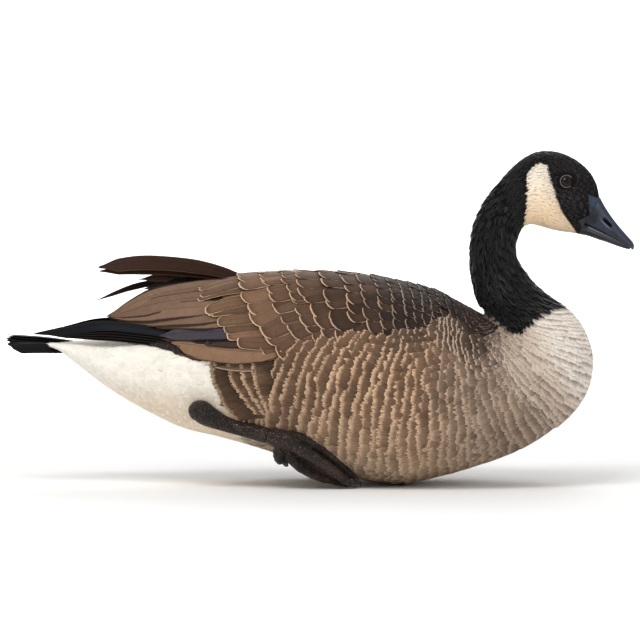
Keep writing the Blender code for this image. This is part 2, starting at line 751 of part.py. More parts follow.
def shank_cutter(path, radii):
    """The shank's last length grown by the gap, to cut the foot clear of it."""
    ahead = unit(path[-1] - path[-2])
    line = np.array((path[-2], path[-1] - ahead * 0.1, path[-1] + ahead * GAP * 0.9))
    grown = np.array((radii[-2], radii[-1], radii[-1])) + GAP
    return tube("shank_cutter", line, grown, "leg_skin", sides=10)


def main():
    clear_scene()
    make_flesh()
    make_bill()
    make_tail()
    for side in ("left", "right"):
        wing(side)
        leg(side)


main()
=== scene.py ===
"""The looks of a life-size Canada goose that rests on its belly with its wings folded.

The flesh is the same form as the solids: a row of flat sections from the bill base, over the head
and down the neck, round the breast and back to the tail. One skin follows that form, and every
feather is laid on it by its section and its angle down from the back, along the lie of the coat.
Sizes are in millimetres until a mesh is made. The bird faces +X and its right side is on -Y.
"""

import math

import bmesh
import bpy
import numpy as np
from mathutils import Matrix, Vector

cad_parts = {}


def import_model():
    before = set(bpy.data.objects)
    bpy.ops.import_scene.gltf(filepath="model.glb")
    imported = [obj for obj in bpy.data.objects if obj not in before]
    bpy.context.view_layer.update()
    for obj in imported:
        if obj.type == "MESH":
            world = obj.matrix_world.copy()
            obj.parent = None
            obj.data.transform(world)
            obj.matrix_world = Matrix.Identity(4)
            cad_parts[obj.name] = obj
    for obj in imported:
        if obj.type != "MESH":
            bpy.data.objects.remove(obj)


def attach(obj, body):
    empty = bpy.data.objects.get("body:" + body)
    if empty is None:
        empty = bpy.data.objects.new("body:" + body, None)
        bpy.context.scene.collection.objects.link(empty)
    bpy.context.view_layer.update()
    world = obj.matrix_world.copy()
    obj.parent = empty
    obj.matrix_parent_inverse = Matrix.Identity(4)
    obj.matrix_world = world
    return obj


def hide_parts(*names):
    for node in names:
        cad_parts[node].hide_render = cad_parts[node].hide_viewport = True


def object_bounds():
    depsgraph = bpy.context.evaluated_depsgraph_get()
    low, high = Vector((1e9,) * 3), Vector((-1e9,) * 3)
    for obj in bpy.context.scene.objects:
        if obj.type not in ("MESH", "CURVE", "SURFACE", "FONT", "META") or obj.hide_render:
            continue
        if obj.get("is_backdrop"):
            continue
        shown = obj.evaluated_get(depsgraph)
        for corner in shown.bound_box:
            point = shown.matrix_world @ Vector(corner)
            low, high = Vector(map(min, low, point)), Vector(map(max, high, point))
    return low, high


MM = 0.001
SQUARENESS = 2.2
BILL_SQUARENESS = 2.4
RNG = np.random.default_rng(20)

# The flesh: back x and z, underside x and z, half width, and how far the widest place sits
# from the middle towards the underside. The last two rows carry the lie of the coat over the tail.
BODY = np.array(
    (
        (279.5, 287.0, 257.0, 250.0, 11.5, 0.05),  # 0 bill base
        (276.5, 300.0, 248.0, 251.5, 14.5, 0.04),
        (269.0, 313.0, 240.0, 252.5, 17.0, 0.02),
        (255.0, 325.0, 229.0, 255.0, 19.0, 0.00),  # 3 brow
        (236.0, 332.5, 219.0, 258.0, 20.5, 0.00),
        (217.0, 332.5, 210.0, 259.5, 21.0, 0.02),
        (200.0, 324.0, 203.0, 256.0, 20.5, 0.02),  # 6 nape
        (182.5, 307.0, 198.5, 247.0, 20.0, 0.00),
        (165.0, 286.5, 196.5, 238.5, 20.5, 0.00),
        (153.0, 262.0, 196.5, 232.0, 21.5, 0.00),
        (148.5, 237.0, 197.5, 226.0, 22.5, 0.00),  # 10 middle of the neck
        (149.0, 214.0, 203.0, 216.0, 24.5, 0.00),
        (152.5, 195.0, 215.0, 201.0, 29.0, 0.00),
        (157.0, 181.0, 233.0, 186.0, 37.0, 0.00),
        (160.0, 175.0, 253.0, 172.5, 48.0, 0.00),
        (161.5, 172.5, 267.5, 151.0, 61.0, 0.00),
        (161.5, 171.0, 274.0, 123.0, 74.0, 0.00),  # 16 front of the breast
        (160.0, 170.5, 267.0, 90.0, 86.0, 0.00),
        (157.0, 171.5, 242.0, 60.0, 95.0, 0.00),
        (150.0, 175.0, 200.0, 33.0, 102.0, 0.01),
        (136.0, 182.5, 150.0, 15.0, 106.0, 0.02),
        (113.0, 195.0, 108.0, 4.0, 108.0, 0.03),  # 21 shoulders
        (80.0, 204.5, 72.0, -2.5, 107.0, 0.04),
        (40.0, 210.5, 32.0, 4.0, 104.0, 0.04),
        (-5.0, 213.0, -12.0, 17.5, 97.0, 0.04),
        (-50.0, 212.0, -55.0, 33.0, 87.0, 0.04),
        (-95.0, 205.0, -98.0, 46.0, 75.0, 0.03),
        (-138.0, 186.0, -138.0, 56.0, 61.0, 0.02),
        (-178.0, 163.0, -176.0, 74.0, 48.0, 0.00),  # 28 vent
        (-212.0, 149.5, -210.0, 94.0, 40.0, 0.00),
        (-240.0, 145.5, -238.0, 115.0, 34.0, 0.00),
        (-260.0, 144.0, -262.0, 133.0, 28.0, 0.00),  # 31 end of the flesh
        (-284.0, 145.5, -284.0, 138.0, 26.0, 0.00),
        (-310.0, 147.0, -310.0, 139.0, 26.0, 0.00),
    )
)
LAST_ROW = len(BODY) - 1
LAST_SECTION = 31.0

# The wing's patch on the body: section and angle of its upper and lower edge, and its height.
WING_TOP = ((19.8, 17.0), (23.0, 11.0), (27.2, 13.0))
WING_LOW = ((19.8, 36.0), (22.0, 57.0), (24.0, 72.0), (25.5, 88.0), (27.2, 97.0))
WING_RISE = ((19.0, 0.0), (19.8, 1.5), (21.5, 3.6), (24.0, 5.0), (26.0, 4.2), (27.2, 1.5), (27.8, 0.0))
FLANK_OVER_WING = 2.2

# Where the flank feathers cover the wing, seen from the side: x and z.
WING_LINE = (
    (-140.0, 112.0), (-105.0, 119.0), (-66.0, 126.0), (-50.0, 131.0), (-28.0, 146.0),
    (10.0, 152.0), (80.0, 156.0), (100.0, 160.0), (112.0, 167.0), (124.0, 171.0),
    (132.0, 166.0), (142.0, 156.0), (155.0, 151.0), (175.0, 155.0),
)
# The lower edge of the folded wing behind the flank.
UNDER_WING = ((-300.0, 141.0), (-215.0, 146.0), (-150.0, 134.0), (-105.0, 119.0))
# Where the black of the neck ends.
NECK_LINE = (
    (150.0, 181.0), (160.0, 174.0), (177.0, 161.0), (188.0, 152.5), (196.0, 151.0),
    (205.0, 158.0), (217.0, 165.5), (230.0, 172.0), (249.0, 176.5), (262.0, 182.0),
)
# The white cheek, seen from the side.
CHEEK = (
    (218.0, 321.5), (226.0, 319.5), (230.0, 303.0), (235.0, 288.0), (241.0, 272.0), (249.0, 261.0),
    (256.0, 251.0), (240.0, 247.0), (205.0, 250.0), (205.5, 266.0), (207.0, 285.0), (207.0, 312.0),
)
# The edge where the horn of the bill meets the feathers of the face, above the mouth.
BILL_EDGE = ((283.0, 283.0), (268.0, 289.5), (269.5, 269.0), (258.0, 263.0), (262.0, 255.0), (290.0, 240.0))

BLACK = (0.0042, 0.0042, 0.0052)
# Rims of the black feathers are lighter as painted sheen.
BLACK_SHEEN_RIM = (0.014, 0.013, 0.014)
RUMP_BLACK = (0.030, 0.022, 0.019)


def smooth(low, high, value):
    share = np.clip((value - low) / (high - low), 0, 1)
    return share * share * (3 - 2 * share)


def blend(first, second, share):
    first, second = np.asarray(first, float), np.asarray(second, float)
    return first + (second - first) * np.asarray(share)[..., None]


def unit(vectors):
    vectors = np.asarray(vectors, float)
    return vectors / np.maximum(np.linalg.norm(vectors, axis=-1, keepdims=True), 1e-9)


def read(table, place):
    places, values = zip(*table)
    return np.interp(place, places, values)


def spline(table, place):
    """Rows of the table read at fractional row numbers, along a smooth curve through them."""
    table = np.asarray(table, float)
    place = np.clip(np.asarray(place, float), 0, len(table) - 1)
    row = np.minimum(place.astype(int), len(table) - 2)
    f = (place - row)[..., None]
    padded = np.vstack((2 * table[0] - table[1], table, 2 * table[-1] - table[-2]))
    a, b, c, d = (padded[row + k] for k in range(4))
    return 0.5 * (2 * b + (c - a) * f + (2 * a - 5 * b + 4 * c - d) * f**2 + (3 * b - a - 3 * c + d) * f**3)


# Places on the body.
def rounded_section(back, under, half_width, shift, angle, squareness):
    """Points of a flat section: angle 0 is the back, pi the underside, and pi/2 the left side."""
    sine, cosine = np.sin(angle), np.cos(angle)
    power = 2 / squareness
    along = 0.5 - 0.5 * np.sign(cosine) * np.abs(cosine) ** power + shift * sine**2
    side = half_width * np.sign(sine) * np.abs(sine) ** power
    place = back + (under - back) * along[..., None]
    return np.stack((place[..., 0], side, place[..., 1]), axis=-1)


def on_body(section, angle):
    row = spline(BODY, section)
    return rounded_section(row[..., 0:2], row[..., 2:4], row[..., 4], row[..., 5], angle, SQUARENESS)


def steps_over(section, angle, h):
    """The way over the flesh along its sections, and round them, from h before a place to h behind."""
    along = on_body(section + h, angle) - on_body(section - h, angle)
    around = on_body(section, angle + h) - on_body(section, angle - h)
    return along, around


def surface(section, angle, lift=0.0):
    """A point moved out from the flesh by lift."""
    section, angle = np.broadcast_arrays(np.asarray(section, float), np.asarray(angle, float))
    along, around = steps_over(section, angle, 0.01)
    out = unit(np.cross(around, along))
    return on_body(section, angle) + out * np.broadcast_to(lift, section.shape)[..., None]


def scale_at(section, angle):
    """Millimetres of surface for one section, and for one radian."""
    h = 0.02
    along, around = (np.linalg.norm(way, axis=-1) / (2 * h) for way in steps_over(section, angle, h))
    return np.maximum(along, 1.2), np.maximum(around, 3.0)


def walk(section, angle, turn, length, steps=6):
    """Where a line over the flesh ends that leaves a place with a turn and has a length."""
    side = np.where(angle < 0, -1.0, 1.0)
    for _ in range(steps):
        per_section, per_radian = scale_at(section, angle)
        section = np.clip(section + np.cos(turn) * length / steps / per_section, 0, LAST_ROW - 0.02)
        angle = angle + side * np.sin(turn) * length / steps / per_radian
    return section, angle


def turn_for(section, angle, rise):
    """The turn with which a feather points straight back and up by rise degrees, seen from the side."""
    section, angle, rise = np.broadcast_arrays(section, angle, rise)
    along, around = map(unit, steps_over(section, angle, 0.02))
    way = np.stack((-np.cos(np.radians(rise)), 0 * rise, np.sin(np.radians(rise))), -1)
    down = (around * way).sum(-1) * np.where(angle < 0, -1.0, 1.0)
    return np.clip(np.arctan2(down, (along * way).sum(-1)), -1.05, 1.05)


def form_rise(section, angle):
    """How far the folded wing lifts the coat from the body."""
    down = degrees_down(angle)
    top, low = read(WING_TOP, section), read(WING_LOW, section)
    share = (down - top) / (low - top)
    hump = np.clip(4 * share * (1 - share), 0, 1) ** 0.6
    full = read(WING_RISE, section)
    edge = np.minimum(full, 2.6)
    inside = edge + (full - edge) * hump
    fade = np.where(share < 0, 1 - smooth(0, 7, top - down), 1 - smooth(0, 24, down - low))
    return np.where((share >= 0) & (share <= 1), inside, edge * fade)


def degrees_down(angle):
    """Degrees down from the back, on either side."""
    return np.degrees(np.abs(angle))


def below_wing(place):
    """How far a place is below the line where the flank meets the wing."""
    return read(WING_LINE, place[..., 0]) - place[..., 2]


def above_neck(place):
    """How far a place is above the line where the black of the neck ends."""
    return place[..., 2] - read(NECK_LINE, place[..., 0])


def shoulder(place):
    """How far a place belongs to the dark narrow feathers below the front of the wing."""
    return smooth(36, 8, below_wing(place)) * smooth(200, 160, place[..., 0])


def over_wing(edge, place):
    """Rise of the feathers that lie over the wing, by how far below its line they end."""
    return FLANK_OVER_WING * smooth(105, 0, edge) * smooth(190, 140, place[:, 0])


def inside_outline(place, outline, wobble=0.0):
    """How far a place is inside an outline seen from the side: above 0 is inside."""
    x, z = place[..., 0], place[..., 2]
    nearest_edge = np.full(x.shape, 1e9)
    crossings = np.zeros(x.shape, int)
    for (ax, az), (bx, bz) in zip(outline, np.roll(outline, -1, axis=0)):
        share = ((x - ax) * (bx - ax) + (z - az) * (bz - az)) / ((bx - ax) ** 2 + (bz - az) ** 2)
        share = np.clip(share, 0, 1)
        away = np.hypot(x - ax - share * (bx - ax), z - az - share * (bz - az))
        nearest_edge = np.minimum(nearest_edge, away)
        at = ax + (z - az) * (bx - ax) / np.where(bz == az, 1e-9, bz - az)
        crossings += ((az > z) != (bz > z)) & (x < at)
    return np.where(crossings % 2 == 1, nearest_edge, -nearest_edge) + wobble


def patch(sections, angles):
    """A grid over the body, from the first and last section and angle and the number of each."""
    return np.meshgrid(np.linspace(*sections), np.linspace(*angles), indexing="ij")


def nearest(grid, x, z):
    """Row and column of the grid point that is nearest to x and z, seen from the side."""
    gap = np.hypot(grid[..., 0] - x, grid[..., 2] - z)
    return np.unravel_index(gap.argmin(), gap.shape)


def nearest_on_body(x, z, first, last):
    """Left-side point of the flesh that shows at x and z from the side, and the way out from it."""
    sections, angles = patch((first, last, 400), (0.02, math.pi - 0.02, 240))
    grid = on_body(sections, angles)
    at = nearest(grid, x, z)
    return grid[at], surface(sections[at], angles[at], 1.0) - grid[at]


def seen_at(x, z):
    """Section and angle of the flesh that shows at each x and z from the side."""
    sections, angles = patch((19.0, 30.0, 300), (0.2, 2.6, 240))
    grid = on_body(sections, angles)
    found = [nearest(grid, *one) for one in zip(x, z)]
    return np.array([(sections[at], angles[at]) for at in found]).T


def section_at(angle, x):
    """The section that is at x, for an angle down from the back."""
    sections = np.linspace(17.5, 31.0, 300)
    lines = on_body(*np.broadcast_arrays(sections[None, :], np.asarray(angle)[:, None]))[..., 0]
    return np.array([np.interp(-one, -line, sections) for one, line in zip(x, lines)])


# Markings. Each gives, for places on the coat, the colour of a feather and of its edge.
def body_colours(point, wobble=0.0):
    x, z = point[..., 0], point[..., 2]
    # Breast: nearly white at the top and front, greyer below and at the side.
    pale = smooth(172, 272, x + 0.75 * (z - 110) + wobble) ** 1.2
    high = smooth(60, 125, z)
    breast = blend(blend((0.28, 0.199, 0.144), (0.275, 0.195, 0.142), high), (0.82, 0.71, 0.62), pale)
    breast_rim = blend(blend((0.53, 0.395, 0.292), (0.55, 0.405, 0.30), high), (0.96, 0.885, 0.80), pale)
    warm = (smooth(0.15, 0.5, pale) * smooth(1.0, 0.72, pale))[..., None] * np.array((0.14, 0.19, 0.24))
    breast, breast_rim = breast * (1 - warm), breast_rim * (1 - warm)
    # Flank: brown with buff ends, paler towards the belly.
    low = 1 - smooth(40, 95, z)
    flank = blend((0.165, 0.098, 0.060), (0.28, 0.178, 0.113), low)
    flank_rim = blend((0.80, 0.53, 0.34), (0.74, 0.515, 0.34), low)
    behind = smooth(-45, -75, x)
    flank = blend(flank, (0.100, 0.058, 0.037), behind)
    flank_rim = blend(flank_rim, (0.52, 0.36, 0.24), behind)
    shade = 1 - 0.22 * smooth(50, -20, x)[..., None]
    flank, flank_rim = flank * shade, flank_rim * shade
    front = smooth(100, 180, x)
    base = blend(flank, breast, front)
    rim = blend(flank_rim, breast_rim, front)
    dark = shoulder(point) * smooth(60, 110, x)
    base = blend(base, (0.070, 0.047, 0.035), 0.9 * dark)
    rim = blend(rim, (0.68, 0.515, 0.39), 0.85 * dark)
    # Belly: warm buff, and cream further back.
    belly = (1 - smooth(16, 46, z + wobble)) * smooth(225, 150, x)
    rear = smooth(30, -80, x)
    base = blend(base, blend((0.36, 0.25, 0.165), (0.62, 0.50, 0.38), rear), belly)
    rim = blend(rim, blend((0.60, 0.45, 0.32), (0.78, 0.68, 0.55), rear), belly)
    # White behind the legs and under the tail.
    white = smooth(-101, -108, x + wobble * 1.5 - 0.10 * (z - 100))
    white = np.maximum(white, smooth(-30, -95, x + wobble) * (1 - smooth(58, 74, z + 0.30 * (x + 95))))
    cream = blend((0.76, 0.63, 0.48), (0.87, 0.83, 0.745), smooth(62, 108, z))
    base = blend(base, cream, white)
    rim = blend(rim, blend(cream, (0.95, 0.92, 0.86), 0.6), white)
    return base, rim


def back_colours(point, wobble=0.0):
    x = point[..., 0]
    near_neck = smooth(40, 110, x + wobble)
    rear = smooth(50, -70, x + wobble)
    base = blend((0.066, 0.036, 0.022), (0.185, 0.104, 0.062), rear)
    base = blend(base, (0.026, 0.017, 0.0135), near_neck)
    rim = blend((0.54, 0.36, 0.235), (0.68, 0.455, 0.29), rear)
    rim = blend(rim, (0.31, 0.235, 0.19), near_neck)
    return base, rim


def head_colours(point, wobble=0.0):
    x, z = point[..., 0], point[..., 2]
    cheek = smooth(-0.4, 0.4, inside_outline(point, CHEEK, wobble))
    black = blend(BLACK, (0.007, 0.0055, 0.0055), smooth(240, 262, x) * smooth(262, 285, z))
    chin = smooth(246, 256, x) * (1 - smooth(257, 264, z + 0.55 * (x - 256)))
    black = blend(black, (0.030, 0.020, 0.015), chin * 0.7)
    # Painted sheen: lighter rims on the black feathers, lighter still on the face.
    rim = blend(black, blend(BLACK_SHEEN_RIM, (0.034, 0.028, 0.030), smooth(222, 246, x)), 0.8)
    cream = blend((0.96, 0.70, 0.44), (0.98, 0.87, 0.72), smooth(264, 312, z))
    cream = blend(cream, (0.95, 0.71, 0.47), 1 - smooth(252, 268, z))
    return blend(black, cream, cheek), blend(rim, blend(cream, (1.0, 0.95, 0.86), 0.3), cheek)


def coat_colours(point, section, angle):
    """Colours anywhere on the coat, as the skin under it takes them."""
    base, rim = body_colours(point)
    back = smooth(-3, 3, -below_wing(point)) * smooth(17.0, 18.4, section + 0.02 * (60 - degrees_down(angle)))
    back = back * (1 - smooth(28.2, 28.8, section))
    back_base, back_rim = back_colours(point)
    base, rim = blend(base, back_base, back), blend(rim, back_rim, back)
    neck = np.where(section < 12.0, 1.0, (section < 17.5) * smooth(-1, 1, above_neck(point)))
    head_base, head_rim = head_colours(point)
    return blend(base, head_base, neck), blend(rim, head_rim, neck)


# Meshes.
def make_mesh(name, points, faces, material, marks=None, bake=None):
    """A mesh from points in millimetres and lists of faces, each list with one number of corners."""
    mesh = bpy.data.meshes.new(name)
    points = np.asarray(points, np.float32).reshape(-1, 3) * MM
    counts = np.concatenate([np.full(len(f), f.shape[1], np.int32) for f in faces if len(f)])
    corners = np.concatenate([f.ravel() for f in faces if len(f)]).astype(np.int32)
    starts = np.concatenate(([0], np.cumsum(counts)[:-1])).astype(np.int32)
    mesh.vertices.add(len(points))
    mesh.vertices.foreach_set("co", points.ravel())
    mesh.loops.add(len(corners))
    mesh.loops.foreach_set("vertex_index", corners)
    mesh.polygons.add(len(counts))
    mesh.polygons.foreach_set("loop_start", starts)
    mesh.polygons.foreach_set("loop_total", counts)
    mesh.polygons.foreach_set("use_smooth", np.full(len(counts), True))
    mesh.update(calc_edges=True)
    for label, values in (marks or {}).items():
        values = np.asarray(values, np.float32)
        if values.ndim == 2:
            values = np.column_stack((values, np.ones(len(values), np.float32)))
            mesh.attributes.new(label, "FLOAT_COLOR", "POINT").data.foreach_set("color", values.ravel())
        else:
            mesh.attributes.new(label, "FLOAT", "POINT").data.foreach_set("value", values)
    if bake is not None:
        layer = mesh.uv_layers.new(name="OFBake")
        layer.data.foreach_set("uv", np.asarray(bake, np.float32)[corners].ravel())
    mesh.materials.append(material)
    obj = bpy.data.objects.new(name, mesh)
    bpy.context.scene.collection.objects.link(obj)
    return obj


def fix_normals(obj, change=None):
    """The object with its faces turned to look out, after a change to its mesh if one is given."""
    work = bmesh.new()
    work.from_mesh(obj.data)
    if change:
        change(work)
    bmesh.ops.recalc_face_normals(work, faces=work.faces)
    work.to_mesh(obj.data)
    work.free()
    return obj


def grid_faces(rows, columns, closed=False):
    """Quads of a grid of points. Closed joins the last column to the first."""
    i, j = np.meshgrid(np.arange(rows - 1), np.arange(columns if closed else columns - 1), indexing="ij")
    this, beside = i * columns + j, i * columns + (j + 1) % columns
    return np.stack((this, beside, beside + columns, this + columns), -1).reshape(-1, 4)


def capped_faces(rows, columns):
    """Faces of a closed tube of points, with one face over each end."""
    start = np.arange(columns)[None]
    return [grid_faces(rows, columns, True), start[:, ::-1], start + (rows - 1) * columns]


def repeated(faces, count, points_each):
    """The same faces for many copies laid one after another."""
    return (faces[None] + (np.arange(count) * points_each)[:, None, None]).reshape(-1, faces.shape[1])


def vane_faces(rows, columns, count):
    """Closed thin vanes: a fine upper face, and an underside of wide strips between the two edges."""
    first = np.arange(rows - 1) * columns
    last = first + columns - 1
    under = np.stack((first, first + columns, last + columns, last), -1)
    root = np.arange(columns)[None, :]
    tip = (rows - 1) * columns + root[:, ::-1]
    return [repeated(f, count, rows * columns) for f in (grid_faces(rows, columns), under, root, tip)]


def sheet_walls(rows, columns):
    """The narrow walls between the upper and lower grid of a thin sheet."""
    count = rows * columns
    i, j = np.arange(rows - 1) * columns, np.arange(columns - 1)
    last, end = columns - 1, (rows - 1) * columns
    return np.concatenate(
        (
            np.stack((i, i + columns, i + columns + count, i + count), -1),
            np.stack((i + last, i + last + count, i + last + columns + count, i + last + columns), -1),
            np.stack((j, j + count, j + 1 + count, j + 1), -1),
            np.stack((end + j, end + j + 1, end + j + 1 + count, end + j + count), -1),
        )
    )


def gathered(parts):
    """Points and faces of several parts as one, the faces joined by their number of corners."""
    points, faces, start = [], {}, 0
    for part_points, part_faces in parts:
        points.append(part_points.reshape(-1, 3))
        for group in part_faces:
            faces.setdefault(group.shape[1], []).append(group + start)
        start += len(points[-1])
    return np.concatenate(points), [np.concatenate(groups) for groups in faces.values()]


def joined(name, material, *batches):
    """One mesh of several batches of points, faces, marks and bake places."""
    points, faces = gathered((batch["points"], batch["faces"]) for batch in batches)
    labels = batches[0]["marks"]
    marks = {label: np.concatenate([batch["marks"][label] for batch in batches]) for label in labels}
    bake = np.concatenate([batch["bake"] for batch in batches])
    return make_mesh(name, points, faces, material, marks, bake)


def mirrored(batch):
    """The same batch on the other side of the bird."""
    faces = [f[:, ::-1] for f in batch["faces"]]
    return {**batch, "points": batch["points"] * (1, -1, 1), "faces": faces}


# Feathers.
class Coat:
    """The named sizes of one kind of small feather."""

    rows = 6
    columns = 7
    sink = -2.2
    slope = 0.05
    curl = 0.0
    camber = 0.5
    roll = 0.0
    blunt = 2.2
    round = 0.9
    ragged = 0.0
    rim = 1.2
    side_rim = 1.0
    root_share = 0.45
    tip_share = 0.85
    tone = 0.12
    widest = 0.55

    def __init__(self, **sizes):
        self.__dict__.update(sizes)


BAKE_SHARE = 0.99
BAKE_PATCH = 0.003


def bake_place(section, angle):
    """Where a place of the body lies on the bake map."""
    place = np.stack((section / len(BODY), (angle + np.pi) / (2 * np.pi)), -1)
    return place * BAKE_SHARE + BAKE_PATCH


def lay(roots, coat):
    """Feathers on the body. Each root has its section, angle, turn, length, half width and colours."""
    section, angle, turn = roots["s"], roots["t"], roots["turn"]
    count = len(section)
    side = np.where(angle < 0, -1.0, 1.0)
    v = 1 - (1 - np.linspace(0, 1, coat.rows)) ** 1.25
    # The shaft's line over the surface, walked row by row.
    walked = [(section, angle, *scale_at(section, angle))]
    for share in np.diff(v):
        s, t, per_section, per_radian = walked[-1]
        step = share * roots["length"]
        s = np.clip(s + np.cos(turn) * step / per_section, 0, LAST_ROW - 0.02)
        t = t + side * np.sin(turn) * step / per_radian
        walked.append((s, t, *scale_at(s, t)))
    s, t, per_section, per_radian = np.moveaxis(np.array(walked), 0, -1)[..., None]
    shape = np.where(
        v < coat.widest,
        coat.root_share + (1 - coat.root_share) * np.sin(np.pi / 2 * v / coat.widest),
        1 - (1 - coat.tip_share) * ((v - coat.widest) / (1 - coat.widest)) ** 2,
    )
    # From here on the axes are feather, row and column.
    turn, side, length, half = (one[:, None, None] for one in (turn, side, roots["length"], roots["half"]))
    lift = roots.get("lift", np.zeros(count))[:, None, None]
    fringe = roots.get("fringe", np.full(count, coat.rim))[:, None, None]
    v, u = v[None, :, None], np.linspace(-1, 1, coat.columns)[None, None, :]
    width = half * shape[None, :, None]
    across = u * width
    bend = 1 - (1 - np.abs(u) ** coat.blunt) ** (1 / coat.blunt)
    broken = coat.ragged * RNG.uniform(-1, 0.4, (count, 1, coat.columns)) * v**5
    forward = broken - coat.round * half * bend * v**2
    ss = np.clip(s + (np.cos(turn) * forward - np.sin(turn) * across) / per_section, 0, LAST_ROW - 0.01)
    tt = t + side * (np.sin(turn) * forward + np.cos(turn) * across) / per_radian
    along = v * length + forward
    tilt = coat.roll + RNG.normal(0, 0.12, (count, 1, 1))
    height = coat.sink + lift + coat.slope * along + coat.curl * v**4
    height = height - coat.camber * u**2 * np.minimum(1, 0.3 + v) + tilt * u * v + form_rise(ss, tt)
    points = surface(ss, tt, height)
    points[..., 2] = np.maximum(points[..., 2], 0.15 + 0.4 * v)
    edge = np.minimum((1 - np.abs(u)) * width / coat.side_rim, (1 - v) * length + 0 * across)
    shade = 1 + RNG.normal(0, coat.tone, (count, 1))
    each = coat.rows * coat.columns
    marks = {
        "tint": np.repeat(np.clip(roots["base"] * shade, 0, 1), each, 0),
        "rim": np.repeat(np.clip(roots["rim"] * (0.4 + 0.6 * shade), 0, 1), each, 0),
        "edge": (edge / fringe).ravel(),
        "along": along.ravel(),
        "across": across.ravel(),
        "share": np.broadcast_to(v, edge.shape).ravel(),
        "seed": np.repeat(RNG.uniform(0, 1, count), each),
    }
    own_patch = np.stack(np.broadcast_arrays(0.5 * u, v), -1) * BAKE_PATCH
    bake = (bake_place(section, angle)[:, None, None, :] + own_patch).reshape(-1, 2)
    faces = turned_out(vane_faces(coat.rows, coat.columns, count), angle < 0, count)
    return {"points": points, "faces": faces, "marks": marks, "bake": bake}


def turned_out(faces, flip, count):
    """Faces of the feathers on one side are wound the other way, so that all face out."""
    made = []
    for group in faces:
        group = group.reshape(count, -1, group.shape[1])
        group = np.where(flip[:, None, None], group, group[:, :, ::-1])
        made.append(group.reshape(-1, group.shape[2]))
    return made


def dress(name, material, roots, coat):
    """The feathers of a tract as two pieces, one for each side."""
    sides = (("left", roots["t"] > 0), ("right", roots["t"] <= 0))
    return [joined(name + "_" + side, material, lay(picked(roots, mask), coat)) for side, mask in sides]


# Roots of feathers.
def picked(roots, mask):
    """The roots that a mask keeps."""
    return {label: values[mask] for label, values in roots.items()}


def some(roots, low, high):
    """Random numbers from low to high, one for each root."""
    return RNG.uniform(low, high, len(roots["s"]))


def scatter(roots, size):
    """Random numbers about 0, one for each root."""
    return RNG.normal(0, size, len(roots["s"]))


def sized(roots, table, low, high):
    """Random sizes, one for each root, about what a table gives for its section."""
    return read(table, roots["s"]) * some(roots, low, high)


def paint(roots, colours, wobble, shift=0.0):
    """Gives each root the colours of its place, or of a place that is a shift further forward."""
    place = roots["place"] + np.array((shift, 0, 0))
    roots["base"], roots["rim"] = colours(place, scatter(roots, wobble))


def tips(roots):
    """Where the feathers end on the flesh."""
    return on_body(*walk(roots["s"], roots["t"], roots["turn"], roots["length"]))


def rooted(s, t, turn, length, **more):
    """Roots of feathers that end at the given places."""
    root_s, root_t = s + 0.0, t + 0.0
    for _ in range(5):
        end_s, end_t = walk(root_s, root_t, turn, length)
        root_s, root_t = np.clip(root_s + s - end_s, 0.05, 32.5), root_t + t - end_t
    roots = {"s": root_s, "t": root_t, "turn": turn, "length": length, **more}
    roots["place"] = surface(root_s, root_t)
    return roots


def straight_flow(section, angle):
    return 0.0 * section * angle


def flank_flow(section, angle):
    """The lie of the flank feathers: up and back at the wing's edge, level lower down."""
    place = on_body(section, angle)
    x, below = place[..., 0], np.maximum(below_wing(place), 0)
    up = math.radians(46) * np.exp(-((below / 44.0) ** 1.1)) * smooth(165, 45, x)
    rear = smooth(-38, -84, x)
    weight = smooth(190, 140, x) * smooth(158, 122, degrees_down(angle))
    return rear * weight * turn_for(section, angle, -22.0) - up * (1 - rear)


def plant(first, last, exposure, spacing, jitter, flow=straight_flow, at_angle=90.0, waver=0.0):
    """Roots of a tract on both sides, in rows that lie square to the flow.

    Rows are an exposure apart at at_angle, and the roots in a row are a spacing apart.
    """
    starts, s = [], float(first)
    while s < last:
        starts.append(s)
        s += read(exposure, s) / scale_at(np.array(s), np.array(math.radians(at_angle)))[0].item()
    fine = np.radians(np.arange(1.0, 180.0))
    middle = int(at_angle) - 1
    rows, turns = np.zeros((2, len(starts), len(fine)))
    rows[:, middle] = starts
    turns[:, middle] = flow(rows[:, middle], fine[middle])
    for way in (1, -1):
        k = middle
        while 0 <= k + way < len(fine):
            per_section, per_radian = scale_at(rows[:, k], np.full(len(starts), fine[k]))
            slope = np.tan(turns[:, k]) * per_radian / per_section * (fine[1] - fine[0])
            k += way
            rows[:, k] = np.clip(rows[:, k - way] - way * slope, 0.05, 32.8)
            turns[:, k] = flow(rows[:, k], fine[k])
    found = []
    for n, start in enumerate(starts):
        gap, apart = read(spacing, start), read(exposure, start)
        per_section, per_radian = scale_at(rows[n], fine)
        next_row = rows[min(n + 1, len(rows) - 1)] - rows[min(n, len(rows) - 2)]
        ease = np.abs(next_row) * per_section * np.cos(turns[n]) / apart
        steps = np.hypot(per_section[1:] * np.diff(rows[n]), per_radian[1:] * np.diff(fine))
        arc = np.concatenate(([0], np.cumsum(steps)))
        count = int(arc[-1] / gap) + 1
        for side in (1, -1):
            places = (np.arange(count) + 0.5 * (n % 2) + RNG.normal(0, jitter, count)) * gap
            phases = RNG.uniform(0, 6, 2)
            drift = waver * (np.sin(places / 13 + phases[0]) + np.sin(places / 31 + phases[1]))
            drift = drift + RNG.normal(0, jitter, count) * apart
            s, t, turn, room, scale = (
                np.interp(places, arc, line) for line in (rows[n], fine, turns[n], ease, per_section)
            )
            found.append((s + drift / np.maximum(scale, 8), side * t, turn, room))
    s, t, turn, ease = np.concatenate(found, 1)
    # Where rows crowd together, some roots are left out.
    keep = (s > 0.02) & (s < 32.5) & (RNG.uniform(0, 1, len(s)) < np.clip(ease * 2.2, 0.2, 1))
    roots = picked({"s": s, "t": t, "turn": turn, "squeeze": np.clip(ease, 0.5, 1.0)}, keep)
    roots["place"] = surface(roots["s"], roots["t"])
    return roots


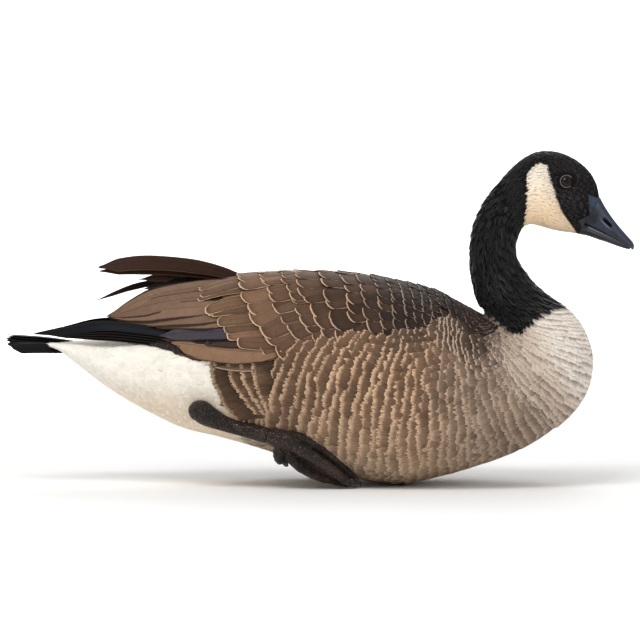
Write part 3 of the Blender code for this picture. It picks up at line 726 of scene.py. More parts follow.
def lengths_along(line):
    """How far each point of a line is from its first one, measured along the line."""
    return np.concatenate(([0], np.cumsum(np.linalg.norm(np.diff(line, axis=0), axis=1))))


def line_by_angle(line):
    """A tier line given by angle down from the back, and x."""
    angle = np.arange(line[0, 0], line[-1, 0], 0.5)
    return section_at(np.radians(angle), np.interp(angle, line[:, 0], line[:, 1])), np.radians(angle)


def line_by_view(line):
    """A tier line given by x and z, as seen from the side."""
    reach = lengths_along(line)
    places = np.linspace(0, reach[-1], 60)
    s, t = seen_at(np.interp(places, reach, line[:, 0]), np.interp(places, reach, line[:, 1]))
    blur = np.ones(5) / 5
    s[2:-2], t[2:-2] = np.convolve(s, blur, "valid"), np.convolve(t, blur, "valid")
    return s, t


def in_tiers(tiers, place_line):
    """Roots of feathers that end along tier lines, on both sides.

    A tier has its line of tips, the gap between feathers, their length, and the rise with which the
    first and the last point back.
    """
    found = []
    for line, gap, length, rise_first, rise_last in tiers:
        s, t = place_line(np.array(line, float))
        arc = lengths_along(on_body(s, t))
        count = max(int(round(arc[-1] / gap)), 2)
        for side in (1, -1):
            places = (np.arange(count) + 0.5 + RNG.normal(0, 0.16, count)) / count * arc[-1]
            rise = rise_first + (rise_last - rise_first) * places / arc[-1] + RNG.normal(0, 2.5, count)
            tip_s, tip_t = np.interp(places, arc, s), side * np.interp(places, arc, t)
            reach = length * RNG.uniform(0.96, 1.04, count)
            found.append((tip_s, tip_t, turn_for(tip_s, tip_t, rise), reach, np.full(count, gap)))
    s, t, turn, length, gap = np.concatenate(found, 1)
    return rooted(s, t, turn, length, gap=gap)


# Shaders.
class Socket:
    """A shader value on which plain arithmetic adds Math nodes."""

    def __init__(self, graph, socket):
        self.graph = graph
        self.socket = socket

    def __add__(self, other):
        return self.graph.math("ADD", self, other)

    def __radd__(self, other):
        return self.graph.math("ADD", other, self)

    def __sub__(self, other):
        return self.graph.math("SUBTRACT", self, other)

    def __rsub__(self, other):
        return self.graph.math("SUBTRACT", other, self)

    def __mul__(self, other):
        return self.graph.math("MULTIPLY", self, other)

    def __rmul__(self, other):
        return self.graph.math("MULTIPLY", other, self)

    def __abs__(self):
        return self.graph.math("ABSOLUTE", self, 0.0)


class Graph:
    """A material whose nodes come from one method."""

    def __init__(self, name, **constants):
        self.material = bpy.data.materials.new(name)
        self.material.use_nodes = True
        self.tree = self.material.node_tree
        self.shader = self.tree.nodes["Principled BSDF"]
        for label, value in constants.items():
            self.shader.inputs[label.replace("_", " ")].default_value = value

    def node(self, kind, settings=None, inputs=None, output=0):
        made = self.tree.nodes.new(kind)
        for label, value in (settings or {}).items():
            setattr(made, label, value)
        for label, value in (inputs or {}).items():
            self.feed(made.inputs[label], value)
        return Socket(self, made.outputs[output])

    def feed(self, target, value):
        if isinstance(value, Socket):
            self.tree.links.new(value.socket, target)
        elif isinstance(value, tuple) and len(value) == 3 and target.type == "RGBA":
            target.default_value = (*value, 1)
        else:
            target.default_value = value

    def drive(self, label, value):
        self.feed(self.shader.inputs[label], value)

    def math(self, operation, a, b):
        return self.node("ShaderNodeMath", {"operation": operation}, {0: a, 1: b})

    def attribute(self, label, colour=False):
        return self.node("ShaderNodeAttribute", {"attribute_name": label}, output=0 if colour else 2)

    def step(self, value, low, high):
        inputs = {"Value": value, "From Min": low, "From Max": high}
        return self.node("ShaderNodeMapRange", {"interpolation_type": "SMOOTHSTEP"}, inputs)

    def mix(self, share, a, b, blend_type="MIX"):
        settings = {"data_type": "RGBA", "blend_type": blend_type}
        return self.node("ShaderNodeMix", settings, {0: share, 6: a, 7: b}, output=2)

    def toned(self, colour, tone):
        """A colour made lighter or darker by a grey tone."""
        grey = self.node("ShaderNodeCombineColor", None, {0: tone, 1: tone, 2: tone})
        return self.mix(1.0, colour, grey, "MULTIPLY")

    def vector(self, x, y, z):
        return self.node("ShaderNodeCombineXYZ", None, {0: x, 1: y, 2: z})

    def noise(self, vector, scale, detail=2.0, rough=0.5):
        inputs = {"Vector": vector, "Scale": scale, "Detail": detail, "Roughness": rough}
        return self.node("ShaderNodeTexNoise", None, inputs)

    def place(self):
        return self.node("ShaderNodeTexCoord", output=3)

    def bump(self, height, strength, distance):
        inputs = {"Height": height, "Strength": strength, "Distance": distance}
        return self.node("ShaderNodeBump", None, inputs)


FEATHER_MARKS = ("along", "across", "seed", "share", "edge")


def plumage(name, roughness, streaks, root_shade, shaft, rim_soft, specular, band=0.0):
    """Feathers: barbs run out from a shaft, the edge is paler, a darker band may lie inside it, and painted
    shade darkens each feather towards its covered root.
    """
    graph = Graph(name, Roughness=roughness, Specular_IOR_Level=specular)
    along, across, seed, share, edge = map(graph.attribute, FEATHER_MARKS)
    barb = graph.vector((along - abs(across) * 0.9) * 1.6, across * 0.12, seed * 40)
    lines = graph.noise(barb, 1.0, 3.0, 0.65)
    patches = graph.noise(graph.vector(along * 0.12, across * 0.12, seed * 90), 1.0, 2.0)
    ragged = edge + (lines - 0.5) * 1.3
    mask = 1 - graph.step(ragged, 1 - rim_soft, 1 + rim_soft)
    colour = graph.mix(mask, graph.attribute("tint", True), graph.attribute("rim", True))
    quill = (1 - graph.step(abs(across), 0.12, 0.45)) * shaft
    light = (1 - streaks * 0.5) + lines * streaks + (patches - 0.5) * 0.35
    # Painted shade: each feather grows darker towards its root, where the feathers above it lie over it.
    depth = (1 - root_shade) + graph.step(share, 0.1, 0.75) * root_shade
    tone = light * depth * (1 - quill)
    if band:
        tone = tone * (1 - graph.step(edge, 0.9, 1.7) * (1 - graph.step(edge, 1.8, 6.0)) * band)
    graph.drive("Base Color", graph.toned(colour, tone))
    graph.drive("Normal", graph.bump(lines + quill * 0.4, 0.35, 0.0005))
    return graph.material


def fringed(name, streak_scale, gap_shade_strength):
    """Soft body feathers: a hairy pale fringe, fine dark strokes of painted shade where the barbs part, and
    painted shade towards the covered root.
    """
    graph = Graph(name, Roughness=0.8, Specular_IOR_Level=0.12)
    along, across, seed, share, edge = map(graph.attribute, FEATHER_MARKS)
    hair = graph.vector(along * 0.09 * streak_scale, across * 0.62 * streak_scale, seed * 50)
    lines = graph.noise(hair, 1.0, 3.0, 0.6)
    patches = graph.noise(graph.vector(along * 0.06, across * 0.06, seed * 70), 1.0, 2.0)
    mask = 1 - graph.step(edge + (lines - 0.5) * 1.9, 0.0, 1.8)
    colour = graph.mix(mask, graph.attribute("tint", True), graph.attribute("rim", True))
    # Painted shade: dark strokes near the fringe, where the barbs part and the shadow beneath shows through.
    gap_shade_patches = graph.step(patches, 0.40, 0.54) * gap_shade_strength
    barb_gap_shade = graph.step(lines, 0.50, 0.56) * (1 - graph.step(edge, 0.35, 1.0)) * gap_shade_patches
    # The second factor of the tone is painted shade: darker towards the root, under the feathers above.
    tone = (0.42 + lines * 1.08 + (patches - 0.5) * 0.6) * (0.60 + graph.step(share, 0.4, 0.85) * 0.40)
    graph.drive("Base Color", graph.toned(colour, tone * (1 - barb_gap_shade)))
    graph.drive("Normal", graph.bump(lines, 1.0, 0.0015))
    return graph.material


def skin_material():
    """The skin under the coat: the same markings, darkened as painted shade where it shows between feathers,
    with a fine fluff that darkens it further at random.
    """
    graph = Graph("shaded_down_under_the_coat", Roughness=0.9, Specular_IOR_Level=0.1)
    fluff = graph.noise(graph.place(), 900.0, 4.0, 0.7)
    graph.drive("Base Color", graph.toned(graph.attribute("tint", True), fluff * 0.4 + 0.6))
    graph.drive("Normal", graph.bump(fluff, 0.5, 0.001))
    return graph.material


def horn_material():
    """Bill: near black, with a blotchy blue-grey bloom that is partly the horn's own tone and partly painted
    sheen, faintly grained along its length, and near black where its shade mark lies.
    """
    graph = Graph("bill_horn_finish", Specular_IOR_Level=0.4)
    place = graph.place()
    grain = graph.noise(place, 300.0, 5.0, 0.6)
    cloud = graph.noise(place, 48.0, 2.0, 0.5)
    # Partly painted sheen: blotches of blue-grey, and a different blue-grey at the front, as a blue sheen on
    # the black horn.
    bloom_and_sheen = graph.step(cloud + (grain - 0.5) * 0.4, 0.30, 0.70)
    forward = graph.step(graph.node("ShaderNodeSeparateXYZ", None, {"Vector": place}), 0.272, 0.292)
    pale_bloom_and_sheen = graph.mix(forward, (0.027, 0.044, 0.080), (0.016, 0.026, 0.050))
    colour = graph.mix(bloom_and_sheen, (0.004, 0.0055, 0.009), pale_bloom_and_sheen)
    colour = graph.mix(graph.attribute("wear"), colour, (0.26, 0.26, 0.265))
    # Near black: painted shade in the nostrils and along the mouth line, and a darker lower bill away from
    # its pale lines.
    colour = graph.mix(graph.attribute("pit"), colour, (0.0005, 0.0005, 0.0005))
    graph.drive("Base Color", colour)
    graph.drive("Roughness", 0.24 + grain * 0.28)
    graph.drive("Normal", graph.bump(grain + cloud * 0.5, 0.15, 0.001))
    return graph.material


def eye_material():
    """Dark brown iris round a black pupil, under a wet clear surface."""
    graph = Graph("wet_eye", Roughness=0.05, Specular_IOR_Level=0.1, Coat_Weight=0.2, Coat_Roughness=0.02)
    rings = graph.attribute("ring")
    streak = graph.noise(graph.vector(rings * 0.6, graph.attribute("spoke") * 9.0, 0.0), 1.0, 3.0)
    iris = graph.mix(streak, (0.008, 0.0035, 0.002), (0.024, 0.0105, 0.0055))
    pupil = 1 - graph.step(rings, 0.50, 0.56)
    limbus = graph.step(rings, 0.84, 1.0)
    colour = graph.mix(pupil, iris, (0.0008, 0.0008, 0.0008))
    graph.drive("Base Color", graph.mix(limbus, colour, (0.003, 0.002, 0.002)))
    return graph.material


def lid_material():
    """The bare rim of the eyelids: fine grey wrinkled skin."""
    graph = Graph("eyelid_rim", Roughness=0.6)
    fine = graph.noise(graph.place(), 1500.0, 3.0)
    graph.drive("Base Color", graph.mix(fine, (0.05, 0.047, 0.047), (0.20, 0.185, 0.18)))
    graph.drive("Normal", graph.bump(fine, 0.4, 0.0004))
    return graph.material


def leg_material():
    """Legs and feet: dark leathery skin in small scales, with painted highlights on the middles of the
    scales.
    """
    graph = Graph("scaled_leg_skin", Specular_IOR_Level=0.4)
    place = graph.place()
    warp = graph.noise(place, 180.0, 2.0)
    settings = {"feature": "DISTANCE_TO_EDGE"}
    cells = graph.node("ShaderNodeTexVoronoi", settings, {"Vector": place, "Scale": 430.0})
    cloud = graph.noise(place, 45.0, 4.0, 0.6)
    scales = graph.step(cells + (warp - 0.5) * 0.08, 0.0, 0.22)
    colour = graph.mix(graph.step(cloud, 0.35, 0.68), (0.015, 0.0085, 0.0055), (0.082, 0.044, 0.0255))
    # Painted highlight: the middles of the scales are lighter.
    colour = graph.mix(graph.step(cells, 0.20, 0.42) * 0.42, colour, (0.18, 0.12, 0.08))
    graph.drive("Base Color", graph.mix(scales, (0.003, 0.002, 0.0016), colour))
    graph.drive("Roughness", 0.58 - scales * 0.22)
    graph.drive("Normal", graph.bump(scales + cloud * 0.5, 1.0, 0.0012))
    return graph.material


def claw_material():
    graph = Graph("claw_horn_finish")
    grain = graph.noise(graph.place(), 400.0, 4.0)
    graph.drive("Base Color", graph.mix(grain, (0.010, 0.008, 0.007), (0.05, 0.04, 0.033)))
    graph.drive("Roughness", 0.3 + grain * 0.25)
    return graph.material


# Skin and small feathers. The tables give sizes by section.
EYE_X, EYE_Z = 245.6, 303.0
EYE_RADIUS = 6.8
EYE_DEPTH = 4.3
LID_REACH = 8.8
SKIN_DEPTH = ((0, 0.5), (6, 0.8), (12, 1.8), (16, 2.6), (29, 2.6), (31, 1.2))


def make_skin(material):
    """One skin from the bill base to the tail, inside the coat by its depth."""
    sections = np.concatenate((np.linspace(0, 13, 90), np.linspace(13.1, LAST_SECTION, 190)))
    angles = np.linspace(0, 2 * np.pi, 120, endpoint=False)
    ss, tt = np.meshgrid(sections, angles, indexing="ij")
    signed = (tt + np.pi) % (2 * np.pi) - np.pi
    points = surface(ss, tt, form_rise(ss, signed) - read(SKIN_DEPTH, ss))
    points[..., 2] = np.maximum(points[..., 2], 0.9)
    on_coat = surface(ss, tt)
    base, rim = coat_colours(on_coat, ss, signed)
    x = on_coat[..., 0]
    rump = smooth(-100, -118, x) * smooth(-194, -189, x) * smooth(72, 62, degrees_down(signed))
    base, rim = blend(base, RUMP_BLACK, rump), blend(rim, RUMP_BLACK, rump)
    # The skin takes the coat's colours, made darker as painted shade between the feathers.
    marks = {"tint": (base * 0.85 + rim * 0.10).reshape(-1, 3)}
    faces, bake = capped_faces(len(sections), len(angles)), bake_place(ss, signed).reshape(-1, 2)
    return fix_normals(make_mesh("skin", points, faces, material, marks, bake))


def face_turn(place):
    """The coat parts round the eye."""
    dx, dz = place[:, 0] - EYE_X, place[:, 2] - EYE_Z
    near = np.exp(-(dx**2 + dz**2) / 130.0)
    return -0.5 * near * np.sign(dz) * (dx > -4)


def clear_of_eye(roots, reach):
    """Shortens feathers that would grow over the eye, and leaves out those rooted on it."""
    place, length = roots["place"], roots["length"]
    dx, dz = place[:, 0] - EYE_X, place[:, 2] - EYE_Z
    # The coat runs back from the bill, so only feathers in front of the eye point at it.
    room = dx - np.sqrt(np.maximum(reach**2 - dz**2, 0))
    room = np.where((dx > 0) & (np.abs(dz) < reach), room, 99.0)
    roots["length"] = np.minimum(length, np.maximum(room, 0.5))
    under = degrees_down(roots["t"]) > 125
    return picked(roots, ((np.hypot(dx, dz) > reach) & (room > 0.8)) | under)


def head_tufts(material, cheek_material):
    """Tufts of head and cheek, clear of bill and eye, and shorter at the edge of the cheek."""
    roots = plant(0.05, 6.9, ((0, 1.5), (3, 1.8), (7, 2.4)), ((0, 1.3), (3, 1.6), (7, 2.0)), 0.3)
    place = roots["place"]
    crown = (degrees_down(roots["t"]) < 14) & (place[:, 2] > 286)
    roots = picked(roots, (inside_outline(place, BILL_EDGE) < 0.2) | crown)
    near_edge = smooth(9, 1, np.abs(inside_outline(roots["place"], CHEEK)))
    roots["length"] = sized(roots, ((0, 2.8), (2, 4.0), (7, 6.4)), 0.8, 1.25) * (1 - 0.45 * near_edge)
    roots["half"] = read(((0, 0.65), (3, 0.95), (7, 1.4)), roots["s"]) * (1 - 0.3 * near_edge)
    roots = clear_of_eye(roots, LID_REACH)
    paint(roots, head_colours, 0.4)
    roots["turn"] = roots["turn"] + scatter(roots, 0.12) + face_turn(roots["place"])
    pale = roots["base"][:, 0] > 0.4
    black, white = picked(roots, ~pale), picked(roots, pale)
    x, z = black["place"][:, 0], black["place"][:, 2]
    clump = np.sin(x * 0.9 + 2 * np.sin(z * 0.35)) * np.sin(z * 0.7)
    # Painted sheen: random brighter rims, in clumps, on the black tufts.
    black["rim"] = black["rim"] * (RNG.lognormal(0, 0.5, len(x)) * (1 + 0.5 * clump))[:, None]
    black["lift"] = 0.12 * clump
    sizes = {"rows": 4, "columns": 3, "camber": 0.15, "round": 1.6, "rim": 0.5}
    sizes.update(root_share=0.6, tip_share=0.5)
    pieces = dress("head_coat", material, black, Coat(sink=-0.75, slope=0.13, tone=0.3, **sizes))
    cheek = Coat(sink=-0.26, slope=0.03, tone=0.015, **sizes)
    return pieces + dress("cheek_coat", cheek_material, white, cheek)


def neck_tufts(material):
    """Black tufts down the neck, in loose clumps, that end at the edge of the black."""
    roots = plant(6.4, 17.9, ((6, 2.8), (13, 3.2), (17, 2.8)), ((6, 2.2), (13, 2.6), (17, 2.4)), 0.3)
    s = roots["s"]
    near_edge = np.where(s > 12, 1 - smooth(0, 16, above_neck(roots["place"])), 0.0)
    lengths = ((6, 7.5), (8, 9.0), (10, 11.0), (14, 11.0), (17, 6.5))
    roots["length"] = sized(roots, lengths, 0.75, 1.2) * (1 - 0.5 * near_edge)
    roots["half"] = read(((6, 1.5), (13, 2.0), (17, 1.7)), s) * (1 - 0.25 * near_edge)
    keep = (s < 12) | (above_neck(tips(roots)) + scatter(roots, 0.7) > 0)
    roots = picked(roots, keep & ~((s > 13.3) & (degrees_down(roots["t"]) < 20)))
    paint(roots, head_colours, 1.0)
    x, y, z = roots["place"].T
    clump = np.sin(z * 0.55 + y * 0.35 + 1.3 * np.sin(x * 0.2))
    tuft = np.sin(z * 0.9 + 1.7 * np.sin(x * 0.33)) * np.sin(x * 0.6 + z * 0.25)
    # Painted sheen: random brighter rims, in clumps, on the black tufts.
    shine = (RNG.lognormal(0, 0.65, len(x)) * (1 + 0.6 * tuft))[:, None]
    roots["rim"] = np.where(roots["base"][:, :1] < 0.4, roots["rim"] * shine, roots["rim"])
    roots["turn"] = roots["turn"] + scatter(roots, 0.10) + 0.12 * clump
    roots["lift"] = 0.4 * clump + 0.2 * tuft + scatter(roots, 0.15)
    coat = Coat(rows=5, columns=3, sink=-1.7, slope=0.15, camber=0.3, round=1.5, rim=1.0,
                root_share=0.55, tip_share=0.5, tone=0.3)
    return dress("neck_coat", material, roots, coat)


def breast_feathers(material):
    """Breast and foreneck below the black: narrow rows whose ends make fine wavering ridges."""
    exposure, spacing = ((12, 3.1), (16, 3.7), (18, 4.4)), ((12, 3.3), (16, 4.2), (18, 4.8))
    roots = plant(12.6, 18.4, exposure, spacing, 0.06, waver=0.8)
    s, place = roots["s"], roots["place"]
    keep = (above_neck(place) < 6 + scatter(roots, 0.8)) & ~((degrees_down(roots["t"]) < 40) & (s > 16.0))
    keep &= (s < 17.9) & ~((below_wing(place) < -3) & (place[:, 0] < 168))
    roots = picked(roots, keep)
    squeeze, dark = roots["squeeze"], shoulder(roots["place"])
    paint(roots, body_colours, 1.5)
    roots["length"] = sized(roots, ((12, 9.0), (16, 11.5), (18, 14.5)), 0.90, 1.08) * squeeze**0.5
    roots["half"] = sized(roots, ((12, 4.4), (16, 6.8), (18, 8.6)), 0.75, 1.2) * squeeze
    roots["fringe"] = read(((12, 1.9), (16, 2.1), (18, 2.4)), roots["s"]) * squeeze * (1 - 0.6 * dark)
    roots["turn"] = roots["turn"] + scatter(roots, 0.05)
    roots["lift"] = scatter(roots, 0.07)
    coat = Coat(rows=5, columns=12, sink=-1.8, slope=0.118, camber=0.12, roll=0.05, curl=-0.3,
                round=0.25, blunt=3.2, ragged=1.3, side_rim=0.07, tone=0.07)
    return dress("breast_feathers", material, roots, coat)


def flank_feathers(material):
    """Flank: broad soft feathers whose rows make wavering bars, lying over the wing's edge."""
    exposure = ((17, 4.6), (18, 5.6), (20, 8.0), (22, 9.6), (27, 10.6))
    spacing = ((17, 4.6), (18, 6.0), (20, 8.0), (27, 9.0))
    roots = plant(16.9, 26.2, exposure, spacing, 0.05, flank_flow, at_angle=100.0, waver=1.1)
    s, place, squeeze = roots["s"], roots["place"], roots["squeeze"]
    x, z, dark = place[:, 0], place[:, 2], shoulder(place)
    lengths = ((17, 13.0), (18, 16.0), (21, 26.0), (26, 29.0))
    halves = ((17, 7.5), (18, 9.5), (20, 12.5), (27, 15.5))
    roots["length"] = sized(roots, lengths, 0.95, 1.05) * squeeze**0.5
    roots["half"] = sized(roots, halves, 0.75, 1.2) * squeeze
    roots["half"] = roots["half"] * (1 - 0.35 * dark * smooth(100, 140, x))
    large = smooth(40, -20, x) * smooth(60, 30, below_wing(place))
    fringe = read(((17, 2.2), (20, 3.2), (27, 4.2)), s) * squeeze
    roots["fringe"] = fringe * (1 - 0.6 * dark) * (1 - 0.4 * large)
    ends = tips(roots)
    edge = below_wing(ends)
    keep = (edge > scatter(roots, 1.0)) & (ends[:, 0] > -50 - 0.22 * (120 - ends[:, 2]))
    keep &= ((degrees_down(roots["t"]) < 140) | (s < 21.0)) & (s > 17.3 - 1.2 * smooth(112, 128, z))
    keep &= below_wing(place) > -2
    roots, edge = picked(roots, keep), edge[keep]
    paint(roots, body_colours, 2.0)
    x, z = roots["place"][:, 0], roots["place"][:, 2]
    mottle = np.sin(x / 9.0 + 2 * np.sin(z / 17.0)) * np.sin(z / 8.0 + x / 21.0)
    roots["base"] = roots["base"] * (1 + 0.18 * mottle)[:, None]
    roots["lift"] = over_wing(edge, roots["place"]) + scatter(roots, 0.07) + 0.2 * mottle
    roots["turn"] = roots["turn"] + scatter(roots, 0.03)
    coat = Coat(rows=5, columns=20, sink=-2.6, slope=0.105, camber=0.75, roll=0.05, curl=-0.9,
                round=0.30, blunt=3.2, ragged=1.9, side_rim=0.07, tone=0.07)
    return dress("flank_feathers", material, roots, coat)


def shoulder_feathers(material):
    """Narrow rows from the neck down over the front of the wing: dark, with thin pale ends."""
    exposure, spacing = ((14, 3.4), (17, 4.3), (20, 6.0)), ((14, 3.4), (17, 4.4), (20, 5.6))
    roots = plant(14.5, 20.5, exposure, spacing, 0.06, waver=0.8)
    place, squeeze = roots["place"], roots["squeeze"]
    roots["length"] = sized(roots, ((14, 9.5), (17, 12.0), (20, 17.0)), 0.92, 1.08) * squeeze**0.5
    roots["half"] = sized(roots, ((14, 4.8), (17, 6.6), (20, 8.6)), 0.8, 1.25) * squeeze
    ends = tips(roots)
    edge = below_wing(ends)
    keep = (edge > 1.0 + scatter(roots, 1.0)) & (edge < 36 + scatter(roots, 3.0))
    keep &= (ends[:, 0] > 112 + scatter(roots, 4.0)) & (place[:, 0] < 198) & (place[:, 2] > 110)
    keep &= above_neck(place) < 4
    roots, edge, ends = picked(roots, keep), edge[keep], ends[keep]
    paint(roots, body_colours, 2.0)
    roots["base"] = roots["base"] * some(roots, 0.8, 1.15)[:, None]
    roots["fringe"] = read(((14, 0.8), (20, 1.1)), roots["s"]) * (1 + 0.9 * smooth(14, 34, edge))
    fading = 1.5 * smooth(20, 36, edge) + 1.0 * smooth(138, 114, ends[:, 0])
    roots["lift"] = 0.5 - fading + over_wing(edge, roots["place"]) + scatter(roots, 0.08)
    coat = Coat(rows=5, columns=12, sink=-1.9, slope=0.118, camber=0.4, roll=0.1, curl=-0.4,
                round=0.22, blunt=3.2, ragged=0.9, side_rim=0.1, tone=0.08)
    return dress("shoulder_feathers", material, roots, coat)


# Tiers behind the leg: tips by x and z, gap, length, first and last rise.
REAR_TIERS = (
    (((-103, 127), (-108, 119), (-107, 108), (-101, 98), (-98, 88), (-92, 77), (-82, 68)), 5.5, 34, -14, -30),
    (((-91, 124), (-89, 109), (-82, 97), (-74, 86), (-66, 77)), 5.5, 32, -20, -32),
    (((-79, 124), (-77, 109), (-71, 96), (-63, 84), (-57, 74)), 6, 32, -18, -28),
    (((-67, 124), (-66, 107), (-60, 92), (-52, 76), (-48, 68)), 6, 32, -10, -20),
)


def rear_flank_feathers(material):
    """The last flank feathers, behind the leg: round-ended, with a pale fringe."""
    roots = in_tiers(REAR_TIERS, line_by_view)
    roots["half"] = roots["gap"] * some(roots, 1.3, 1.9)
    paint(roots, body_colours, 2.0, 8.0)
    roots["base"] = roots["base"] * some(roots, 0.75, 1.15)[:, None]
    roots["lift"] = 0.3 + scatter(roots, 0.12)
    coat = Coat(rows=9, columns=17, sink=-2.4, slope=0.085, camber=0.8, roll=0.1, round=0.5,
                blunt=2.4, ragged=2.2, rim=2.9, side_rim=0.1, tone=0.08)
    return dress("rear_flank_feathers", material, roots, coat)


def belly_feathers(material):
    """Belly: short soft rows with little pattern."""
    apart = ((19, 6.5), (27, 7.5))
    roots = plant(19.2, 27.6, apart, apart, 0.22, at_angle=150.0)
    z = roots["place"][:, 2]
    roots = picked(roots, (z > 3.0) & (z < 64) & (degrees_down(roots["t"]) > 118))
    paint(roots, body_colours, 2.5)
    roots["length"] = some(roots, 15, 20)
    roots["half"] = some(roots, 5.0, 7.0)
    roots["lift"] = -0.5 * np.clip((14 - roots["place"][:, 2]) / 14, 0, 1)
    roots["turn"] = roots["turn"] + scatter(roots, 0.10)
    coat = Coat(rows=5, sink=-2.4, slope=0.09, camber=0.3, curl=-0.4, round=0.5, ragged=1.6, rim=2.6,
                side_rim=0.4, tone=0.08)
    return dress("belly_feathers", material, roots, coat)


def vent_feathers(material):
    """White of the vent, undertail and uppertail: soft loose feathers."""
    roots = plant(25.2, 31.0, ((26, 5.5), (31, 5.5)), ((26, 4.6), (31, 4.0)), 0.35)
    s, down = roots["s"], degrees_down(roots["t"])
    x, z = roots["place"][:, 0], roots["place"][:, 2]
    keep = (x < -76 + scatter(roots, 2.0)) | ((z < 62) & (s > 26.4))
    keep &= (z < read(UNDER_WING, x)) | (s > 29.2) | ((down < 60) & (s > 28.3))
    roots = picked(roots, keep)
    paint(roots, body_colours, 1.0, -32.0)
    length = sized(roots, ((26, 26.0), (29, 32.0), (31, 24.0)), 0.8, 1.15)
    room = roots["place"][:, 0] + 270 + scatter(roots, 2.5)
    roots["length"] = np.minimum(length, np.maximum(room, 5.0))
    roots["half"] = sized(roots, ((26, 7.5), (31, 5.5)), 0.8, 1.2)
    roots["lift"] = -0.9 * smooth(70, 40, degrees_down(roots["t"])) + scatter(roots, 0.04)
    roots["turn"] = roots["turn"] + scatter(roots, 0.10) - 0.12
    coat = Coat(columns=9, sink=-1.3, slope=0.028, camber=0.22, curl=-0.3, ragged=2.6, rim=2.0,
                side_rim=0.8, tip_share=0.7, tone=0.02)
    return dress("vent_feathers", material, roots, coat)


# Tiers of mantle and coverts: tips by degrees down and x, gap, length, first and last rise.
COVERT_TIERS = (
    (((0, -121), (28, -119), (40, -117), (52, -109), (60, -100), (68, -92), (74, -77)), 8.5, 56, -14, 0),
    (((0, -84), (22, -81), (36, -80), (47, -73), (59, -67), (66, -58), (74, -49), (82, -38)),
     14, 50, -36, -30),
    (((73, -61), (79, -57), (85, -50)), 6, 24, -30, -22),
    (((0, -64), (20, -60), (29, -57), (43, -49), (52, -45), (58, -38), (65, -30), (76, -15)),
     10.5, 38, -30, -30),
    (((0, -44), (18, -39), (29, -38), (40, -30), (50, -26), (58, -19), (65, -11), (74, 3)),
     10.5, 36, -30, -30),
    (((0, -29), (26, -24), (36, -22), (47, -12), (56, -6), (66, 3), (74, 15)), 14, 36, -26, -30),
    (((0, -8), (26, 1), (40, 3), (47, 7), (56, 9), (65, 17), (74, 30)), 15.5, 38, -24, -30),
    (((0, 12), (20, 20), (36, 25), (52, 26.5), (63, 34), (74, 49)), 13.5, 34, -20, -26),
    (((0, 30), (22, 37), (37, 41), (52, 43), (66, 51), (76, 63)), 12.5, 30, -16, -20),
    (((0, 46), (26, 54.6), (45, 57), (63, 62), (76, 73)), 11, 27, -12, -17),
    (((0, 60), (30, 69), (52, 71), (70, 77), (79, 86)), 9.5, 24, -10, -14),
    (((0, 72), (30, 80.5), (50, 82.6), (69, 89), (78, 97)), 8.5, 22, -8, -12),
    (((0, 83), (30, 90), (50, 92), (69, 98), (76, 104)), 8, 20, -8, -10),
    (((0, 93), (30, 99), (50, 101), (68, 108)), 7.5, 18, -8, -12),
    (((0, 102), (30, 107), (50, 110), (62, 116)), 7, 17, -8, -12),
    (((0, 110), (30, 115), (54, 123)), 6.5, 16, -8, -14),
    (((0, 118), (28, 123), (52, 132)), 6, 15, -8, -16),
    (((0, 125), (26, 130), (50, 141)), 5.5, 14, -8, -18),
    (((0, 132), (26, 137), (48, 149)), 5, 13, -8, -20),
    (((0, 138), (26, 144), (48, 157)), 4.8, 12.5, -8, -22),
    (((0, 144), (26, 150), (46, 164)), 4.5, 12, -8, -24),
    (((0, 149), (26, 156), (44, 171)), 4.2, 11, -8, -26),
)


def covert_feathers(material):
    """Mantle, scapulars and wing coverts: round-ended feathers in slanting tiers, with pale edges."""
    roots = in_tiers(COVERT_TIERS, line_by_angle)
    gap, place, down = roots["gap"], roots["place"], degrees_down(roots["t"])
    roots["half"] = gap * some(roots, 0.66, 1.05)
    paint(roots, back_colours, 9)
    roots["base"] = roots["base"] * some(roots, 0.78, 1.2)[:, None]
    roots["lift"] = scatter(roots, 0.2) + 3.0 * smooth(95, 150, place[:, 0]) * smooth(58, 30, down)
    roots["turn"] = roots["turn"] + scatter(roots, 1) * read(((4, 0.08), (9, 0.035), (16, 0.02)), gap)
    roots["length"] = roots["length"] * (1 + scatter(roots, 1) * read(((4, 0.05), (9, 0.015)), gap))
    roots["fringe"] = read(((4, 0.75), (9, 1.15), (16, 1.4)), gap) * some(roots, 0.7, 1.2)
    coat = Coat(rows=10, columns=17, sink=-2.3, slope=0.070, camber=0.9, roll=0.8, round=0.78,
                ragged=0.4, side_rim=0.55, tone=0.10)
    return dress("covert_feathers", material, roots, coat)


def rump_feathers(material):
    """Dark rump between the folded wings."""
    roots = plant(25.8, 28.6, ((26, 9.0), (29, 8.0)), ((26, 9.0), (29, 7.0)), 0.2, at_angle=45.0)
    roots = picked(roots, degrees_down(roots["t"]) < 75)
    count = len(roots["s"])
    roots["base"] = np.tile(RUMP_BLACK, (count, 1))
    roots["rim"] = np.tile((0.06, 0.045, 0.037), (count, 1))
    roots["length"] = some(roots, 24, 30)
    roots["half"] = some(roots, 7, 9)
    roots["turn"] = roots["turn"] + scatter(roots, 0.1)
    roots["lift"] = -1.0 - 1.0 * smooth(-187, -200, tips(roots)[:, 0])
    roots = picked(roots, tips(roots)[:, 0] > -199)
    return dress("rump_feathers", material, roots, Coat(sink=-2.0, slope=0.05, ragged=1.0))


# Wings and tail.
TERTIAL = (0.19, 0.116, 0.076)
# Dark tertial edges are painted shadow: dark lines between the overlapping tertials.
TERTIAL_SHADOW_RIM = (0.050, 0.030, 0.020)
PRIMARY_RIM = (0.024, 0.019, 0.018)
SLATE = (0.054, 0.048, 0.058)
BROWN = (0.24, 0.137, 0.081)
